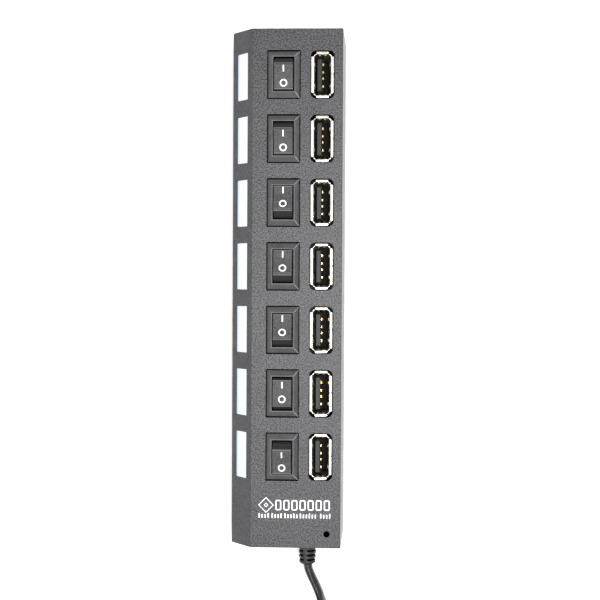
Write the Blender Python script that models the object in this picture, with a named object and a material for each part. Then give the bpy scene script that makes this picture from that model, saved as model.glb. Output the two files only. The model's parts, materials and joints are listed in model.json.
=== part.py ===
"""A desktop USB hub with a rocker switch beside each socket, as an assembly of its separate pieces.

The hub lies on its back. X runs across it, Y along it, away from the cable, and Z up, out of its front
face. The origin is on the surface that it stands on, under the middle of the case. Sizes are in metres.
"""

import math

import bmesh
import bpy
from mathutils import Vector

MM = 0.001
GAP = 0.3 * MM  # clearance between neighbouring pieces

# Case. Its walls lean out towards the back, and its left long edge is chamfered.
BACK_Z = 1.0 * MM
SPLIT_Z = 11.0 * MM
FRONT_Z = 23.0 * MM
BACK_HALF_WIDTH = 18.6 * MM
BACK_HALF_LENGTH = 82.1 * MM
FRONT_HALF_LENGTH = 81.65 * MM
FRONT_RIGHT_X = 17.4 * MM
CHAMFER_FOOT = (-17.65 * MM, 16.2 * MM)  # x and z of the chamfer's lower edge
WALL = 2.0 * MM
BACK_WALL = 3.0 * MM
BACK_PLATE = 2.0 * MM
LIP_HEIGHT = 1.2 * MM
EDGE_ROUND = 0.6 * MM

# The row of ports, each a socket, a switch and a lit window
PORTS = 7
PITCH = 20.0 * MM
FIRST_Y = 67.2 * MM
SOCKET_X = 11.0 * MM
SWITCH_X = -1.1 * MM
WINDOW_X = -14.38 * MM

SOCKET_HOLE = (7.6 * MM, 15.1 * MM, 1.9 * MM)  # width, length, corner radius
SHELL_OUTSIDE = (5.7 * MM, 13.1 * MM, 0.9 * MM)
SHELL_SHEET = 0.3 * MM
SHELL_LIP = 0.55 * MM
SOCKET_MOUTH_Z = FRONT_Z - 0.15 * MM
TONGUE = (-1.5 * MM, 0.34 * MM)  # its two faces, from the socket's middle
TONGUE_LENGTH = 11.1 * MM
TONGUE_TIP_Z = SOCKET_MOUTH_Z - 0.95 * MM
TONGUE_FOOT_Z = 12.4 * MM

SWITCH_RECESS = (10.5 * MM, 15.3 * MM, 0.3 * MM)
RECESS_DEPTH = 1.5 * MM
SWITCH_BODY = (8.6 * MM, 13.2 * MM)
SWITCH_FLOOR_Z = 12.2 * MM
BEZEL = (9.9 * MM, 14.5 * MM)
BEZEL_EDGE = 1.0 * MM
RIM_WIDTH = 0.35 * MM
RIM_Z = FRONT_Z + 1.0 * MM
PIVOT_Z = RIM_Z - 2.7 * MM
CAVITY_WIDTH = 6.6 * MM
CAVITY_RADIUS = 6.0 * MM
CAVITY_FLOOR_Z = 15.6 * MM

ROCKER_WIDTH = 5.8 * MM
ROCKER_DISH_RADIUS = 22.0 * MM
# Along the case from the pivot, and up from it: foot, and end up to the edge of the face
ROCKER_SIDE = (
    (2.1 * MM, -2.0 * MM),
    (4.3 * MM, -0.6 * MM),
    (5.45 * MM, 0.3 * MM),
    (5.4 * MM, 1.3 * MM),
    (4.85 * MM, 2.55 * MM),
    (4.3 * MM, 3.9 * MM),
    (4.05 * MM, 5.1 * MM),
)
ROCKER_TILT = math.radians(15)
PIVOT_RADIUS = 0.6 * MM
PIVOT_REACH = 0.95 * MM
# 1: the far end (I) stands up, -1: the near end (O) stands up
ROCKER_SIDES = (1, 1, -1, -1, -1, -0.35, 1)

WINDOW = (5.05 * MM, 14.75 * MM)  # up the chamfer, along the case
GUIDE_BAR = (6.4 * MM, 1.1 * MM)
POWER_LIGHT = (13.05 * MM, -77.2 * MM)
PINHOLE_RADIUS = 1.0 * MM

BOARD_Z = (7.2 * MM, 8.8 * MM)
BOARD_HALF_WIDTH = 14.6 * MM
BOARD_HALF_LENGTH = 78.4 * MM
BOARD_NOTCH = (2.4 * MM, 10.9 * MM, -73.6 * MM)  # left, right and inner edge, for the strain relief
PARTS_Z = BOARD_Z[1] + GAP

SCREWS = (
    (-12.3 * MM, 76.6 * MM),
    (11.0 * MM, 76.6 * MM),
    (12.0 * MM, -66.5 * MM),
    (-12.3 * MM, -74.0 * MM),
)
SCREW_RADIUS = 1.0 * MM
SCREW_HEAD_RADIUS = 2.0 * MM
SCREW_TOP_Z = 15.5 * MM
HEAD_TOP_Z = 3.2 * MM
BOSS_RADIUS = 2.0 * MM
BACK_BOSS_RADIUS = 3.0 * MM
FOOT_RADIUS = 4.0 * MM
FOOT_PLACES = tuple((x * MM, y * MM) for x in (-11.8, 11.8) for y in (-55.0, 62.0))
FOOT_RECESS = 0.8 * MM

JACK_X = -4.8 * MM
JACK = (9.0 * MM, 12.6 * MM, 11.3 * MM)
JACK_NOSE_RADIUS = 4.0 * MM
JACK_BORE_RADIUS = 3.1 * MM
JACK_PIN_RADIUS = 1.0 * MM
JACK_AXIS_Z = 16.0 * MM
JACK_FACE_Y = -82.1 * MM

# Cable, lying on the surface under the hub, and wound into a coil with the plug beside it
CABLE_RADIUS = 1.4 * MM
RELIEF_X = 6.8 * MM
RELIEF_Z = SPLIT_Z
RELIEF_NECK_RADIUS = 2.2 * MM
RELIEF_SLOTS_Y = (-85.25 * MM, -86.75 * MM, -88.25 * MM)
COIL_MIDDLE = (1.7 * MM, -126.65 * MM)
COIL_RADII = (15.2 * MM, 18.0 * MM)
COIL_LAYERS = 3
COIL_LAYER_RISE = 2.8 * MM
PLUG_Y = -160.4 * MM
PLUG_REAR_X = -9.0 * MM
PLUG_AXIS_Z = 4.0 * MM
OVERMOULD = (24.0 * MM, 15.6 * MM, 8.0 * MM)
PLUG_SHELL = (18.5 * MM, 12.0 * MM, 4.5 * MM)
# Routes in millimetres: out of the strain relief and down to the coil, and from the coil to the plug
LEAD_ROUTE = (
    (7.0, -90.8, 10.97),
    (7.57, -92.75, 10.9),
    (8.29, -94.47, 10.7),
    (9.31, -96.7, 10.15),
    (10.55, -99.88, 9.1),
    (11.3, -102.6, 7.5),
    (12.1, -105.2, 5.1),
    (12.75, -107.3, 3.3),
    (13.2, -108.5, 2.4),
)
TAIL_ROUTE = (
    (-9.9, -144.75, 5.5),
    (-13.5, -145.1, 3.4),
    (-17.0, -146.9, 1.9),
    (-19.2, -150.2, 1.42),
    (-19.3, -154.2, 1.42),
    (-17.4, -157.8, 1.9),
    (-14.2, -159.9, 3.0),
    (-11.5, -160.4, 3.8),
    (-9.3, -160.4, 4.0),
)

ROUND_STEPS = 16


# ---------------------------------------------------------------- materials


def material(name, colour, roughness, metallic=0.0, glow=0.0):
    """A Principled BSDF material of one plain colour."""
    found = bpy.data.materials.get(name)
    if found:
        return found
    made = bpy.data.materials.new(name)
    made.use_nodes = True
    shader = made.node_tree.nodes["Principled BSDF"]
    shader.inputs["Base Color"].default_value = (*colour, 1.0)
    shader.inputs["Roughness"].default_value = roughness
    shader.inputs["Metallic"].default_value = metallic
    if glow:
        shader.inputs["Emission Color"].default_value = (*colour, 1.0)
        shader.inputs["Emission Strength"].default_value = glow
    return made


def case_plastic():
    return material("case_plastic", (0.1, 0.1, 0.103), 0.55)


def switch_plastic():
    return material("switch_plastic", (0.09, 0.09, 0.092), 0.5)


def insulator_plastic():
    return material("insulator_plastic", (0.02, 0.02, 0.02), 0.45)


def nickel():
    return material("nickel", (0.78, 0.75, 0.68), 0.28, metallic=1.0)


def board_green():
    return material("board_green", (0.02, 0.12, 0.05), 0.45)


def light_plastic():
    return material("light_plastic", (0.82, 0.9, 1.0), 0.35, glow=1.0)


def lamp_epoxy():
    return material("lamp_epoxy", (0.85, 0.9, 0.95), 0.25)


def chip_epoxy():
    return material("chip_epoxy", (0.02, 0.02, 0.022), 0.6)


def screw_steel():
    return material("screw_steel", (0.35, 0.35, 0.36), 0.35, metallic=1.0)


def foot_rubber():
    return material("foot_rubber", (0.03, 0.03, 0.03), 0.85)


def cable_jacket():
    return material("cable_jacket", (0.025, 0.025, 0.026), 0.5)


def capacitor_sleeve():
    return material("capacitor_sleeve", (0.03, 0.04, 0.08), 0.4)


# ---------------------------------------------------------------- mesh helpers


def build(name, mesh_data, look):
    """An object of this name from a bmesh, with its faces pointing out and round faces smooth."""
    bmesh.ops.recalc_face_normals(mesh_data, faces=mesh_data.faces)
    mesh = bpy.data.meshes.new(name)
    mesh_data.to_mesh(mesh)
    mesh_data.free()
    mesh.materials.append(look)
    mesh.shade_smooth()
    mesh.set_sharp_from_angle(angle=math.radians(35))
    made = bpy.data.objects.new(name, mesh)
    bpy.context.scene.collection.objects.link(made)
    return made


def add_loft(mesh_data, loops):
    """A closed solid through loops of the same number of points, with flat ends."""
    rings = [[mesh_data.verts.new(point) for point in loop] for loop in loops]
    count = len(rings[0])
    for low, high in zip(rings, rings[1:]):
        for i in range(count):
            j = (i + 1) % count
            mesh_data.faces.new((low[i], low[j], high[j], high[i]))
    mesh_data.faces.new(rings[0][::-1])
    mesh_data.faces.new(rings[-1])


def loft(loops):
    mesh_data = bmesh.new()
    add_loft(mesh_data, loops)
    return mesh_data


def rectangle(width, length, middle=(0.0, 0.0)):
    x, y = middle
    half_w, half_l = width / 2, length / 2
    return [
        (x - half_w, y - half_l),
        (x + half_w, y - half_l),
        (x + half_w, y + half_l),
        (x - half_w, y + half_l),
    ]


def rounded_rectangle(width, length, radius, middle=(0.0, 0.0), steps=4):
    """Outline points, anticlockwise, with each corner an arc of this many steps."""
    points = []
    for (cx, cy), turn in zip(
        rectangle(width - 2 * radius, length - 2 * radius, middle), (180, 270, 0, 90)
    ):
        for i in range(steps + 1):
            angle = math.radians(turn + 90 * i / steps)
            points.append((cx + radius * math.cos(angle), cy + radius * math.sin(angle)))
    return points


def circle(radius, middle=(0.0, 0.0), steps=ROUND_STEPS):
    return [
        (
            middle[0] + radius * math.cos(2 * math.pi * i / steps),
            middle[1] + radius * math.sin(2 * math.pi * i / steps),
        )
        for i in range(steps)
    ]


def at_height(outline, z):
    return [(x, y, z) for x, y in outline]


def add_prism(mesh_data, outline, low, high):
    add_loft(mesh_data, [at_height(outline, low), at_height(outline, high)])


def prism(outline, low, high):
    mesh_data = bmesh.new()
    add_prism(mesh_data, outline, low, high)
    return mesh_data


def turned(profile, steps=ROUND_STEPS):
    """A solid turned about Z from (radius, height) points, between two flat ends."""
    return loft([at_height(circle(r, steps=steps), z) for r, z in profile])


def combine(target, mesh_data, operation):
    """Cuts, joins or trims a piece with a solid, and keeps only the resulting mesh."""
    tool = build(target.name + "_tool", mesh_data, target.data.materials[0])
    step = target.modifiers.new("combine", "BOOLEAN")
    step.operation = operation
    step.object = tool
    graph = bpy.context.evaluated_depsgraph_get()
    result = bpy.data.meshes.new_from_object(target.evaluated_get(graph))
    target.modifiers.clear()
    spare, target.data = target.data, result
    result.name = target.name
    bpy.data.meshes.remove(spare)
    bpy.data.meshes.remove(tool.data)
    tidy_mesh(target)


def tidy_mesh(target):
    """Welds the points that a cut leaves on top of each other, and shades again."""
    mesh_data = bmesh.new()
    mesh_data.from_mesh(target.data)
    bmesh.ops.remove_doubles(mesh_data, verts=mesh_data.verts, dist=0.002 * MM)
    bmesh.ops.dissolve_degenerate(mesh_data, edges=mesh_data.edges, dist=0.001 * MM)
    mesh_data.to_mesh(target.data)
    mesh_data.free()
    target.data.shade_smooth()
    target.data.set_sharp_from_angle(angle=math.radians(35))


def cut(target, mesh_data):
    combine(target, mesh_data, "DIFFERENCE")


def join(target, mesh_data):
    combine(target, mesh_data, "UNION")


def soften(mesh_data, width, wanted, segments=2):
    """Rounds the edges for which wanted(edge) is true."""
    edges = [edge for edge in mesh_data.edges if wanted(edge)]
    bmesh.ops.bevel(
        mesh_data, geom=edges, offset=width, segments=segments, profile=0.5, affect="EDGES"
    )


def is_corner(edge):
    return edge.calc_face_angle(0.0) > math.radians(20)


def copies(first, name, places):
    """Puts the first piece at the first place, and a copy that shares its mesh at each other one."""
    made = []
    for i, place in enumerate(places):
        piece = first if i == 0 else bpy.data.objects.new(first.name, first.data)
        if i:
            bpy.context.scene.collection.objects.link(piece)
        piece.name = f"{name}_{i + 1}"
        piece.location = place
        made.append(piece)
    return made


def port_y(number):
    """The middle of a port along the case, with port 0 furthest from the cable."""
    return FIRST_Y - number * PITCH


def port_places(x, z=0.0):
    return [(x, port_y(i), z) for i in range(PORTS)]


# ---------------------------------------------------------------- case


def along(value, low, high):
    return (value - low) / (high - low)


def case_section(z, inset=0.0):
    """The case's outline at a height, moved in by inset: left x, right x and half length."""
    share = along(z, BACK_Z, FRONT_Z)
    right = BACK_HALF_WIDTH + share * (FRONT_RIGHT_X - BACK_HALF_WIDTH)
    half_length = BACK_HALF_LENGTH + share * (FRONT_HALF_LENGTH - BACK_HALF_LENGTH)
    foot_x, foot_z = CHAMFER_FOOT
    up_to_foot = min(along(z, BACK_Z, foot_z), 1.0)
    wall_left = -BACK_HALF_WIDTH + up_to_foot * (foot_x + BACK_HALF_WIDTH)
    chamfer_left = foot_x + (z - foot_z) + inset * math.sqrt(2)
    left = max(wall_left + inset, chamfer_left)
    return left, right - inset, half_length - inset


def case_loop(z, inset=0.0, reach=0.0):
    """Case outline at a height, its Y ends moved out by reach."""
    left, right, half = case_section(z, inset)
    half += reach
    return [(left, -half, z), (right, -half, z), (right, half, z), (left, half, z)]


def inner_foot_z(inset):
    """Height where the chamfer's inner face meets the wall's."""
    return CHAMFER_FOOT[1] - inset * (math.sqrt(2) - 1)


def ceiling_z(x):
    """Underside of the front shell at x, a little way into its material."""
    chamfer = CHAMFER_FOOT[1] + (x - CHAMFER_FOOT[0]) - WALL * math.sqrt(2)
    return min(FRONT_Z - WALL, chamfer) + 0.6 * MM


def chamfer_point(up, out, y):
    """A point near a window: up the chamfer from its middle, out of its face, and along the case."""
    x, z = WINDOW_X, CHAMFER_FOOT[1] + WINDOW_X - CHAMFER_FOOT[0]
    slope = math.sqrt(0.5)
    return (x + (up - out) * slope, y, z + (up + out) * slope)


def chamfer_block(mesh_data, width, length, inside, outside, y):
    """A block across the chamfer, from inside to outside of its face."""
    corners = rectangle(width, length, (0.0, y))
    loops = [[chamfer_point(up, out, along_y) for up, along_y in corners] for out in (inside, outside)]
    add_loft(mesh_data, loops)


def front_shell():
    """Top half of the case: chamfered box, open at the back, with all the openings of the front."""
    levels = (SPLIT_Z + GAP / 2, CHAMFER_FOOT[1], FRONT_Z)
    mesh_data = loft([case_loop(z) for z in levels])
    bottom = SPLIT_Z + GAP
    soften(
        mesh_data,
        EDGE_ROUND,
        lambda edge: is_corner(edge) and max(v.co.z for v in edge.verts) > bottom,
    )
    shell = build("top_cover", mesh_data, case_plastic())
    inside = (SPLIT_Z - 1 * MM, inner_foot_z(WALL), FRONT_Z - WALL)
    cut(shell, loft([case_loop(z, WALL) for z in inside]))
    bosses = bmesh.new()
    for place in SCREWS:
        outline = circle(BOSS_RADIUS, place)
        foot = at_height(outline, PARTS_Z)
        add_loft(bosses, [foot, [(x, y, ceiling_z(x)) for x, y in outline]])
    join(shell, bosses)
    cut(shell, front_holes())
    cut(shell, switch_recesses())
    cut(shell, window_holes())
    cut(shell, end_wall_holes())
    return shell


def front_holes():
    """Socket holes, switch body holes, the pinhole and the blind screw holes."""
    mesh_data = bmesh.new()
    width, length, radius = SOCKET_HOLE
    low, high = FRONT_Z - WALL - 1 * MM, FRONT_Z + 1 * MM
    for i in range(PORTS):
        outline = rounded_rectangle(width, length, radius, (SOCKET_X, port_y(i)))
        add_prism(mesh_data, outline, low, high)
        body = rectangle(
            SWITCH_BODY[0] + 2 * GAP, SWITCH_BODY[1] + 2 * GAP, (SWITCH_X, port_y(i))
        )
        add_prism(mesh_data, body, low, FRONT_Z - RECESS_DEPTH + 0.2 * MM)
    add_prism(mesh_data, circle(PINHOLE_RADIUS, POWER_LIGHT, 24), low, high)
    for place in SCREWS:
        outline = circle(SCREW_RADIUS + GAP, place, 12)
        add_prism(mesh_data, outline, SPLIT_Z - 3 * MM, SCREW_TOP_Z + GAP)
    return mesh_data


def switch_recesses():
    mesh_data = bmesh.new()
    width, length, radius = SWITCH_RECESS
    for i in range(PORTS):
        outline = rounded_rectangle(width, length, radius, (SWITCH_X, port_y(i)), steps=2)
        add_prism(mesh_data, outline, FRONT_Z - RECESS_DEPTH, FRONT_Z + 1 * MM)
    return mesh_data


def window_holes():
    mesh_data = bmesh.new()
    for i in range(PORTS):
        chamfer_block(mesh_data, *WINDOW, -WALL - 1 * MM, 1 * MM, port_y(i))
    return mesh_data


def end_wall_holes():
    """Round ways through the cable's end wall: the power socket's, and the strain relief's neck."""
    mesh_data = bmesh.new()
    holes = (
        (JACK_X, JACK_AXIS_Z, JACK_NOSE_RADIUS + GAP),
        (RELIEF_X, RELIEF_Z, RELIEF_NECK_RADIUS + GAP),
    )
    for x, z, radius in holes:
        loops = [
            [(x + a, y, z + b) for a, b in circle(radius, steps=24)]
            for y in (-BACK_HALF_LENGTH - 1 * MM, -FRONT_HALF_LENGTH + BACK_WALL + 2 * MM)
        ]
        add_loft(mesh_data, loops)
    return mesh_data


def back_shell():
    """Bottom half of the case: a tray with a lip that locates the front shell, bosses and recesses."""
    rim_z = SPLIT_Z - GAP / 2
    lip = WALL + GAP
    levels = [
        case_loop(BACK_Z),
        case_loop(rim_z),
        case_loop(rim_z, lip),
        case_loop(SPLIT_Z + LIP_HEIGHT, lip),
    ]
    mesh_data = loft(levels)
    soften(
        mesh_data,
        EDGE_ROUND,
        lambda edge: is_corner(edge) and min(v.co.z for v in edge.verts) < rim_z - 1 * MM,
    )
    shell = build("bottom_cover", mesh_data, case_plastic())
    floor_z = BACK_Z + BACK_PLATE
    inside = (floor_z, SPLIT_Z + 2 * LIP_HEIGHT)
    cut(shell, loft([case_loop(z, BACK_WALL) for z in inside]))
    bosses = bmesh.new()
    for place in SCREWS:
        add_prism(bosses, circle(BACK_BOSS_RADIUS, place), floor_z - 0.5 * MM, BOARD_Z[0] - GAP)
    join(shell, bosses)
    holes = bmesh.new()
    for place in SCREWS:
        head = circle(SCREW_HEAD_RADIUS + GAP, place)
        shank = circle(SCREW_RADIUS + GAP, place)
        add_loft(
            holes,
            [
                at_height(head, BACK_Z - 1 * MM),
                at_height(head, HEAD_TOP_Z + GAP),
                at_height(shank, HEAD_TOP_Z + GAP),
                at_height(shank, BOARD_Z[0] + 1 * MM),
            ],
        )
    for place in FOOT_PLACES:
        outline = circle(FOOT_RADIUS + GAP, place, 24)
        add_prism(holes, outline, BACK_Z - 1 * MM, BACK_Z + FOOT_RECESS)
    cut(shell, holes)
    cut(shell, end_wall_holes())
    return shell


def case_screws():
    head_z = BACK_Z + 0.3 * MM
    profile = [
        (SCREW_HEAD_RADIUS * 0.8, head_z),
        (SCREW_HEAD_RADIUS, head_z + 0.4 * MM),
        (SCREW_HEAD_RADIUS, HEAD_TOP_Z),
        (SCREW_RADIUS, HEAD_TOP_Z),
        (SCREW_RADIUS, SCREW_TOP_Z - 1 * MM),
        (SCREW_RADIUS * 0.4, SCREW_TOP_Z),
    ]
    screw = build("case_screw", turned(profile, 16), screw_steel())
    for width, length in ((0.5 * MM, 2.4 * MM), (2.4 * MM, 0.5 * MM)):
        cut(screw, prism(rectangle(width, length), head_z - 1 * MM, head_z + 0.9 * MM))
    return copies(screw, "case_screw", [(x, y, 0.0) for x, y in SCREWS])


def rubber_feet():
    profile = [
        (FOOT_RADIUS - 0.4 * MM, 0.0),
        (FOOT_RADIUS - 0.1 * MM, 0.25 * MM),
        (FOOT_RADIUS, 0.6 * MM),
        (FOOT_RADIUS, BACK_Z + FOOT_RECESS - GAP),
    ]
    foot = build("rubber_foot", turned(profile, 24), foot_rubber())
    return copies(foot, "rubber_foot", [(x, y, 0.0) for x, y in FOOT_PLACES])


# ---------------------------------------------------------------- sockets


def lipped_outline():
    """The socket shell's outside with its four turned-out lips, which end where the corners begin."""
    width, length, radius = SHELL_OUTSIDE
    points = []
    corners = rounded_rectangle(width, length, radius)
    steps = len(corners) // 4
    outward = ((0, -1), (1, 0), (0, 1), (-1, 0))
    for side in range(4):
        corner = corners[side * steps : (side + 1) * steps]
        points += corner
        dx, dy = outward[side]
        after = corners[(side + 1) * steps % len(corners)]
        for x, y in (corner[-1], after):
            points.append((x + dx * SHELL_LIP, y + dy * SHELL_LIP))
    return points


def socket_shells():
    width, length, radius = SHELL_OUTSIDE
    outside = rounded_rectangle(width, length, radius)
    shell = build(
        "usb_shell", prism(outside, PARTS_Z, SOCKET_MOUTH_Z - SHELL_SHEET / 2), nickel()
    )
    join(shell, prism(lipped_outline(), SOCKET_MOUTH_Z - SHELL_SHEET, SOCKET_MOUTH_Z))
    inside = rounded_rectangle(
        width - 2 * SHELL_SHEET, length - 2 * SHELL_SHEET, radius - SHELL_SHEET
    )
    cut(shell, prism(inside, PARTS_Z - 1 * MM, SOCKET_MOUTH_Z + 1 * MM))
    return copies(shell, "usb_shell", port_places(SOCKET_X))


def socket_insulators():
    """Base block and contact tongue, one moulding."""
    half_block = SHELL_OUTSIDE[0] / 2 - SHELL_SHEET - GAP
    left, right = TONGUE
    profile = [
        (-half_block, PARTS_Z),
        (half_block, PARTS_Z),
        (half_block, TONGUE_FOOT_Z),
        (right, TONGUE_FOOT_Z),
        (right, TONGUE_TIP_Z - 0.5 * MM),
        (right - 0.35 * MM, TONGUE_TIP_Z),
        (left + 0.35 * MM, TONGUE_TIP_Z),
        (left, TONGUE_TIP_Z - 0.5 * MM),
        (left, TONGUE_FOOT_Z),
        (-half_block, TONGUE_FOOT_Z),
    ]
    half = TONGUE_LENGTH / 2
    loops = [[(x, y, z) for x, z in profile] for y in (-half, half)]
    insulator = build("usb_insulator", loft(loops), insulator_plastic())
    return copies(insulator, "usb_insulator", port_places(SOCKET_X))


# ---------------------------------------------------------------- switches


def cavity_half_length(z):
    """The cavity's ends follow the rocker's round ends above the pivot, and go straight down below."""
    rise = max(z - PIVOT_Z, 0.0)
    return math.sqrt(CAVITY_RADIUS**2 - rise**2)


def switch_housings():
    """Body with a bezel whose four mitred sides rise to the rocker's opening."""
    ledge_z = FRONT_Z - RECESS_DEPTH + 0.15 * MM
    opening = (CAVITY_WIDTH, 2 * cavity_half_length(RIM_Z))
    rim = [side + 2 * RIM_WIDTH for side in opening]
    levels = (
        (*SWITCH_BODY, SWITCH_FLOOR_Z),
        (*SWITCH_BODY, ledge_z),
        (*BEZEL, ledge_z),
        (*BEZEL, ledge_z + BEZEL_EDGE),
        (*rim, RIM_Z),
    )
    loops = [at_height(rectangle(w, l), z) for w, l, z in levels]
    housing = build("switch_housing", loft(loops), switch_plastic())
    heights = [CAVITY_FLOOR_Z, PIVOT_Z]
    heights += [PIVOT_Z + (RIM_Z - PIVOT_Z) * i / 5 for i in range(1, 6)]
    cavity = [
        at_height(rectangle(CAVITY_WIDTH, 2 * cavity_half_length(z)), z) for z in heights
    ]
    cavity.append(at_height(rectangle(*opening), RIM_Z + 1 * MM))
    cut(housing, loft(cavity))
    hole = [
        [(x, a, PIVOT_Z + b) for a, b in circle(PIVOT_RADIUS + 0.2 * MM, steps=12)]
        for x in (-SWITCH_BODY[0], SWITCH_BODY[0])
    ]
    cut(housing, loft(hole))
    return copies(housing, "switch_housing", port_places(SWITCH_X))


def rocker_profile():
    """Side view about the pivot: a slightly dished face, two ends that lean inward, and a foot."""
    half_face, face_z = ROCKER_SIDE[-1]
    half_angle = math.asin(half_face / ROCKER_DISH_RADIUS)
    middle_z = face_z + ROCKER_DISH_RADIUS * math.cos(half_angle)
    face = []
    for i in range(1, 8):
        angle = half_angle * (1 - i / 4)
        y, z = ROCKER_DISH_RADIUS * math.sin(angle), ROCKER_DISH_RADIUS * math.cos(angle)
        face.append((y, middle_z - z))
    return [*ROCKER_SIDE, *face, *((-y, z) for y, z in reversed(ROCKER_SIDE))]


def rockers():
    half = ROCKER_WIDTH / 2
    loops = [[(x, y, z) for y, z in rocker_profile()] for x in (-half, half)]
    mesh_data = loft(loops)
    soften(
        mesh_data,
        0.18 * MM,
        lambda edge: edge.calc_face_angle(0.0) > math.radians(25)
        and min(v.co.z for v in edge.verts) > 3.5 * MM,
    )
    rocker = build("rocker", mesh_data, switch_plastic())
    reach = half + PIVOT_REACH
    pivot = [[(x, a, b) for a, b in circle(PIVOT_RADIUS, steps=12)] for x in (-reach, reach)]
    join(rocker, loft(pivot))
    made = copies(rocker, "rocker", port_places(SWITCH_X, PIVOT_Z))
    for piece, side in zip(made, ROCKER_SIDES):
        piece.rotation_euler = (side * ROCKER_TILT, 0.0, 0.0)
    return made


# ---------------------------------------------------------------- lights


def light_guide():
    """A bar behind the chamfer with a pad up into each window."""
    top = -WALL - GAP
    middle_y = (port_y(0) + port_y(PORTS - 1)) / 2
    length = (PORTS - 1) * PITCH + WINDOW[1] - 2 * GAP
    mesh_data = bmesh.new()
    chamfer_block(mesh_data, GUIDE_BAR[0], length, top - GUIDE_BAR[1], top, middle_y)
    guide = build("light_guide", mesh_data, light_plastic())
    pads = bmesh.new()
    for i in range(PORTS):
        width, pad_length = WINDOW[0] - 2 * GAP, WINDOW[1] - 2 * GAP
        chamfer_block(pads, width, pad_length, top - 0.5 * MM, -0.05 * MM, port_y(i))
    join(guide, pads)
    return guide


def port_lights():
    """A surface-mounted lamp on the board under each window."""
    profile = [(2.8, 3.4, 0.0), (2.8, 3.4, 1.2), (2.4, 3.0, 1.9)]
    loops = [at_height(rectangle(w * MM, l * MM), PARTS_Z + z * MM) for w, l, z in profile]
    lamp = build("port_led", loft(loops), lamp_epoxy())
    return copies(lamp, "port_led", port_places(-12.9 * MM))


def power_light():
    """A round lamp with a flange at its foot, well below the pinhole."""
    profile = [
        (1.6, 0.0),
        (1.6, 0.9),
        (1.4, 0.9),
        (1.4, 3.9),
        (1.2, 4.7),
        (0.8, 5.25),
        (0.25, 5.4),
    ]
    outline = [(r * MM, PARTS_Z + z * MM) for r, z in profile]
    lamp = build("power_led", turned(outline), lamp_epoxy())
    lamp.location = (*POWER_LIGHT, 0.0)
    return lamp


# ---------------------------------------------------------------- board


def main_board():
    """Circuit board with a notch for the strain relief and a hole for each screw."""
    left, right, inner = BOARD_NOTCH
    half_w, half_l = BOARD_HALF_WIDTH, BOARD_HALF_LENGTH
    outline = [
        (-half_w, -half_l),
        (left, -half_l),
        (left, inner),
        (right, inner),
        (right, -half_l),
        (half_w, -half_l),
        (half_w, half_l),
        (-half_w, half_l),
    ]
    board = build("main_pcb", prism(outline, *BOARD_Z), board_green())
    holes = bmesh.new()
    for place in SCREWS:
        add_prism(holes, circle(1.5 * MM, place), BOARD_Z[0] - 1 * MM, BOARD_Z[1] + 1 * MM)
    cut(board, holes)
    return board


def hub_chip(name, x, y):
    profile = [(5.1, 10.0, 0.0), (5.3, 10.2, 0.8), (5.1, 10.0, 1.7)]
    loops = [at_height(rectangle(w * MM, l * MM), PARTS_Z + z * MM) for w, l, z in profile]
    chip = build(name, loft(loops), chip_epoxy())
    chip.location = (x, y, 0.0)
    return chip


def crystal():
    """The hub controller's clock crystal in its oval can, lying across the board."""
    outline = rounded_rectangle(4.4 * MM, 10.8 * MM, 2.1 * MM)
    can = build("crystal", prism(outline, PARTS_Z, PARTS_Z + 2.6 * MM), nickel())
    can.location = (-8.2 * MM, port_y(3) + 1 * MM, 0.0)
    return can


def capacitor():
    profile = [
        (3.0, 0.0),
        (3.15, 0.4),
        (3.15, 1.2),
        (2.95, 1.5),
        (3.15, 1.8),
        (3.15, 7.8),
        (2.8, 8.1),
    ]
    can = build(
        "capacitor",
        turned([(r * MM, PARTS_Z + z * MM) for r, z in profile], 20),
        capacitor_sleeve(),
    )
    can.location = (4.6 * MM, -66.4 * MM, 0.0)
    return can


def around_jack(radius, y, steps):
    """A circle about the power socket's axis."""
    return [(JACK_X + a, y, JACK_AXIS_Z + b) for a, b in circle(radius, steps=steps)]


def power_socket():
    """Barrel jack on the board, its round nose standing through the cable's end wall."""
    width, depth, height = JACK
    front_y = -FRONT_HALF_LENGTH + BACK_WALL + GAP
    outline = rectangle(width, depth, (JACK_X, front_y + depth / 2))
    jack = build("dc_jack", prism(outline, PARTS_Z, PARTS_Z + height), insulator_plastic())
    nose_ends = (JACK_FACE_Y, front_y + 1 * MM)
    join(jack, loft([around_jack(JACK_NOSE_RADIUS, y, 24) for y in nose_ends]))
    bore_ends = (JACK_FACE_Y - 1 * MM, front_y + 7 * MM)
    cut(jack, loft([around_jack(JACK_BORE_RADIUS, y, 24) for y in bore_ends]))
    pin = (
        (JACK_PIN_RADIUS * 0.7, JACK_FACE_Y + 1.2 * MM),
        (JACK_PIN_RADIUS, JACK_FACE_Y + 1.8 * MM),
        (JACK_PIN_RADIUS, front_y + 8 * MM),
    )
    join(jack, loft([around_jack(radius, y, 12) for radius, y in pin]))
    return jack


# ---------------------------------------------------------------- cable


def relief_slots():
    """Three slots on each side of the strain relief, which leave a spine along its top and bottom."""
    mesh_data = bmesh.new()
    inner, outer, spread = 1.7 * MM, 4.0 * MM, math.radians(74)
    for y in RELIEF_SLOTS_Y:
        for side in (0.0, math.pi):
            angles = [side + spread * (i / 6 - 1) for i in range(13)]
            arc = [(outer * math.cos(a), outer * math.sin(a)) for a in angles]
            arc += [(inner * math.cos(a), inner * math.sin(a)) for a in reversed(angles)]
            loops = [
                [(RELIEF_X + a, y + shift, RELIEF_Z + b) for a, b in arc]
                for shift in (-0.25 * MM, 0.25 * MM)
            ]
            add_loft(mesh_data, loops)
    return mesh_data


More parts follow.
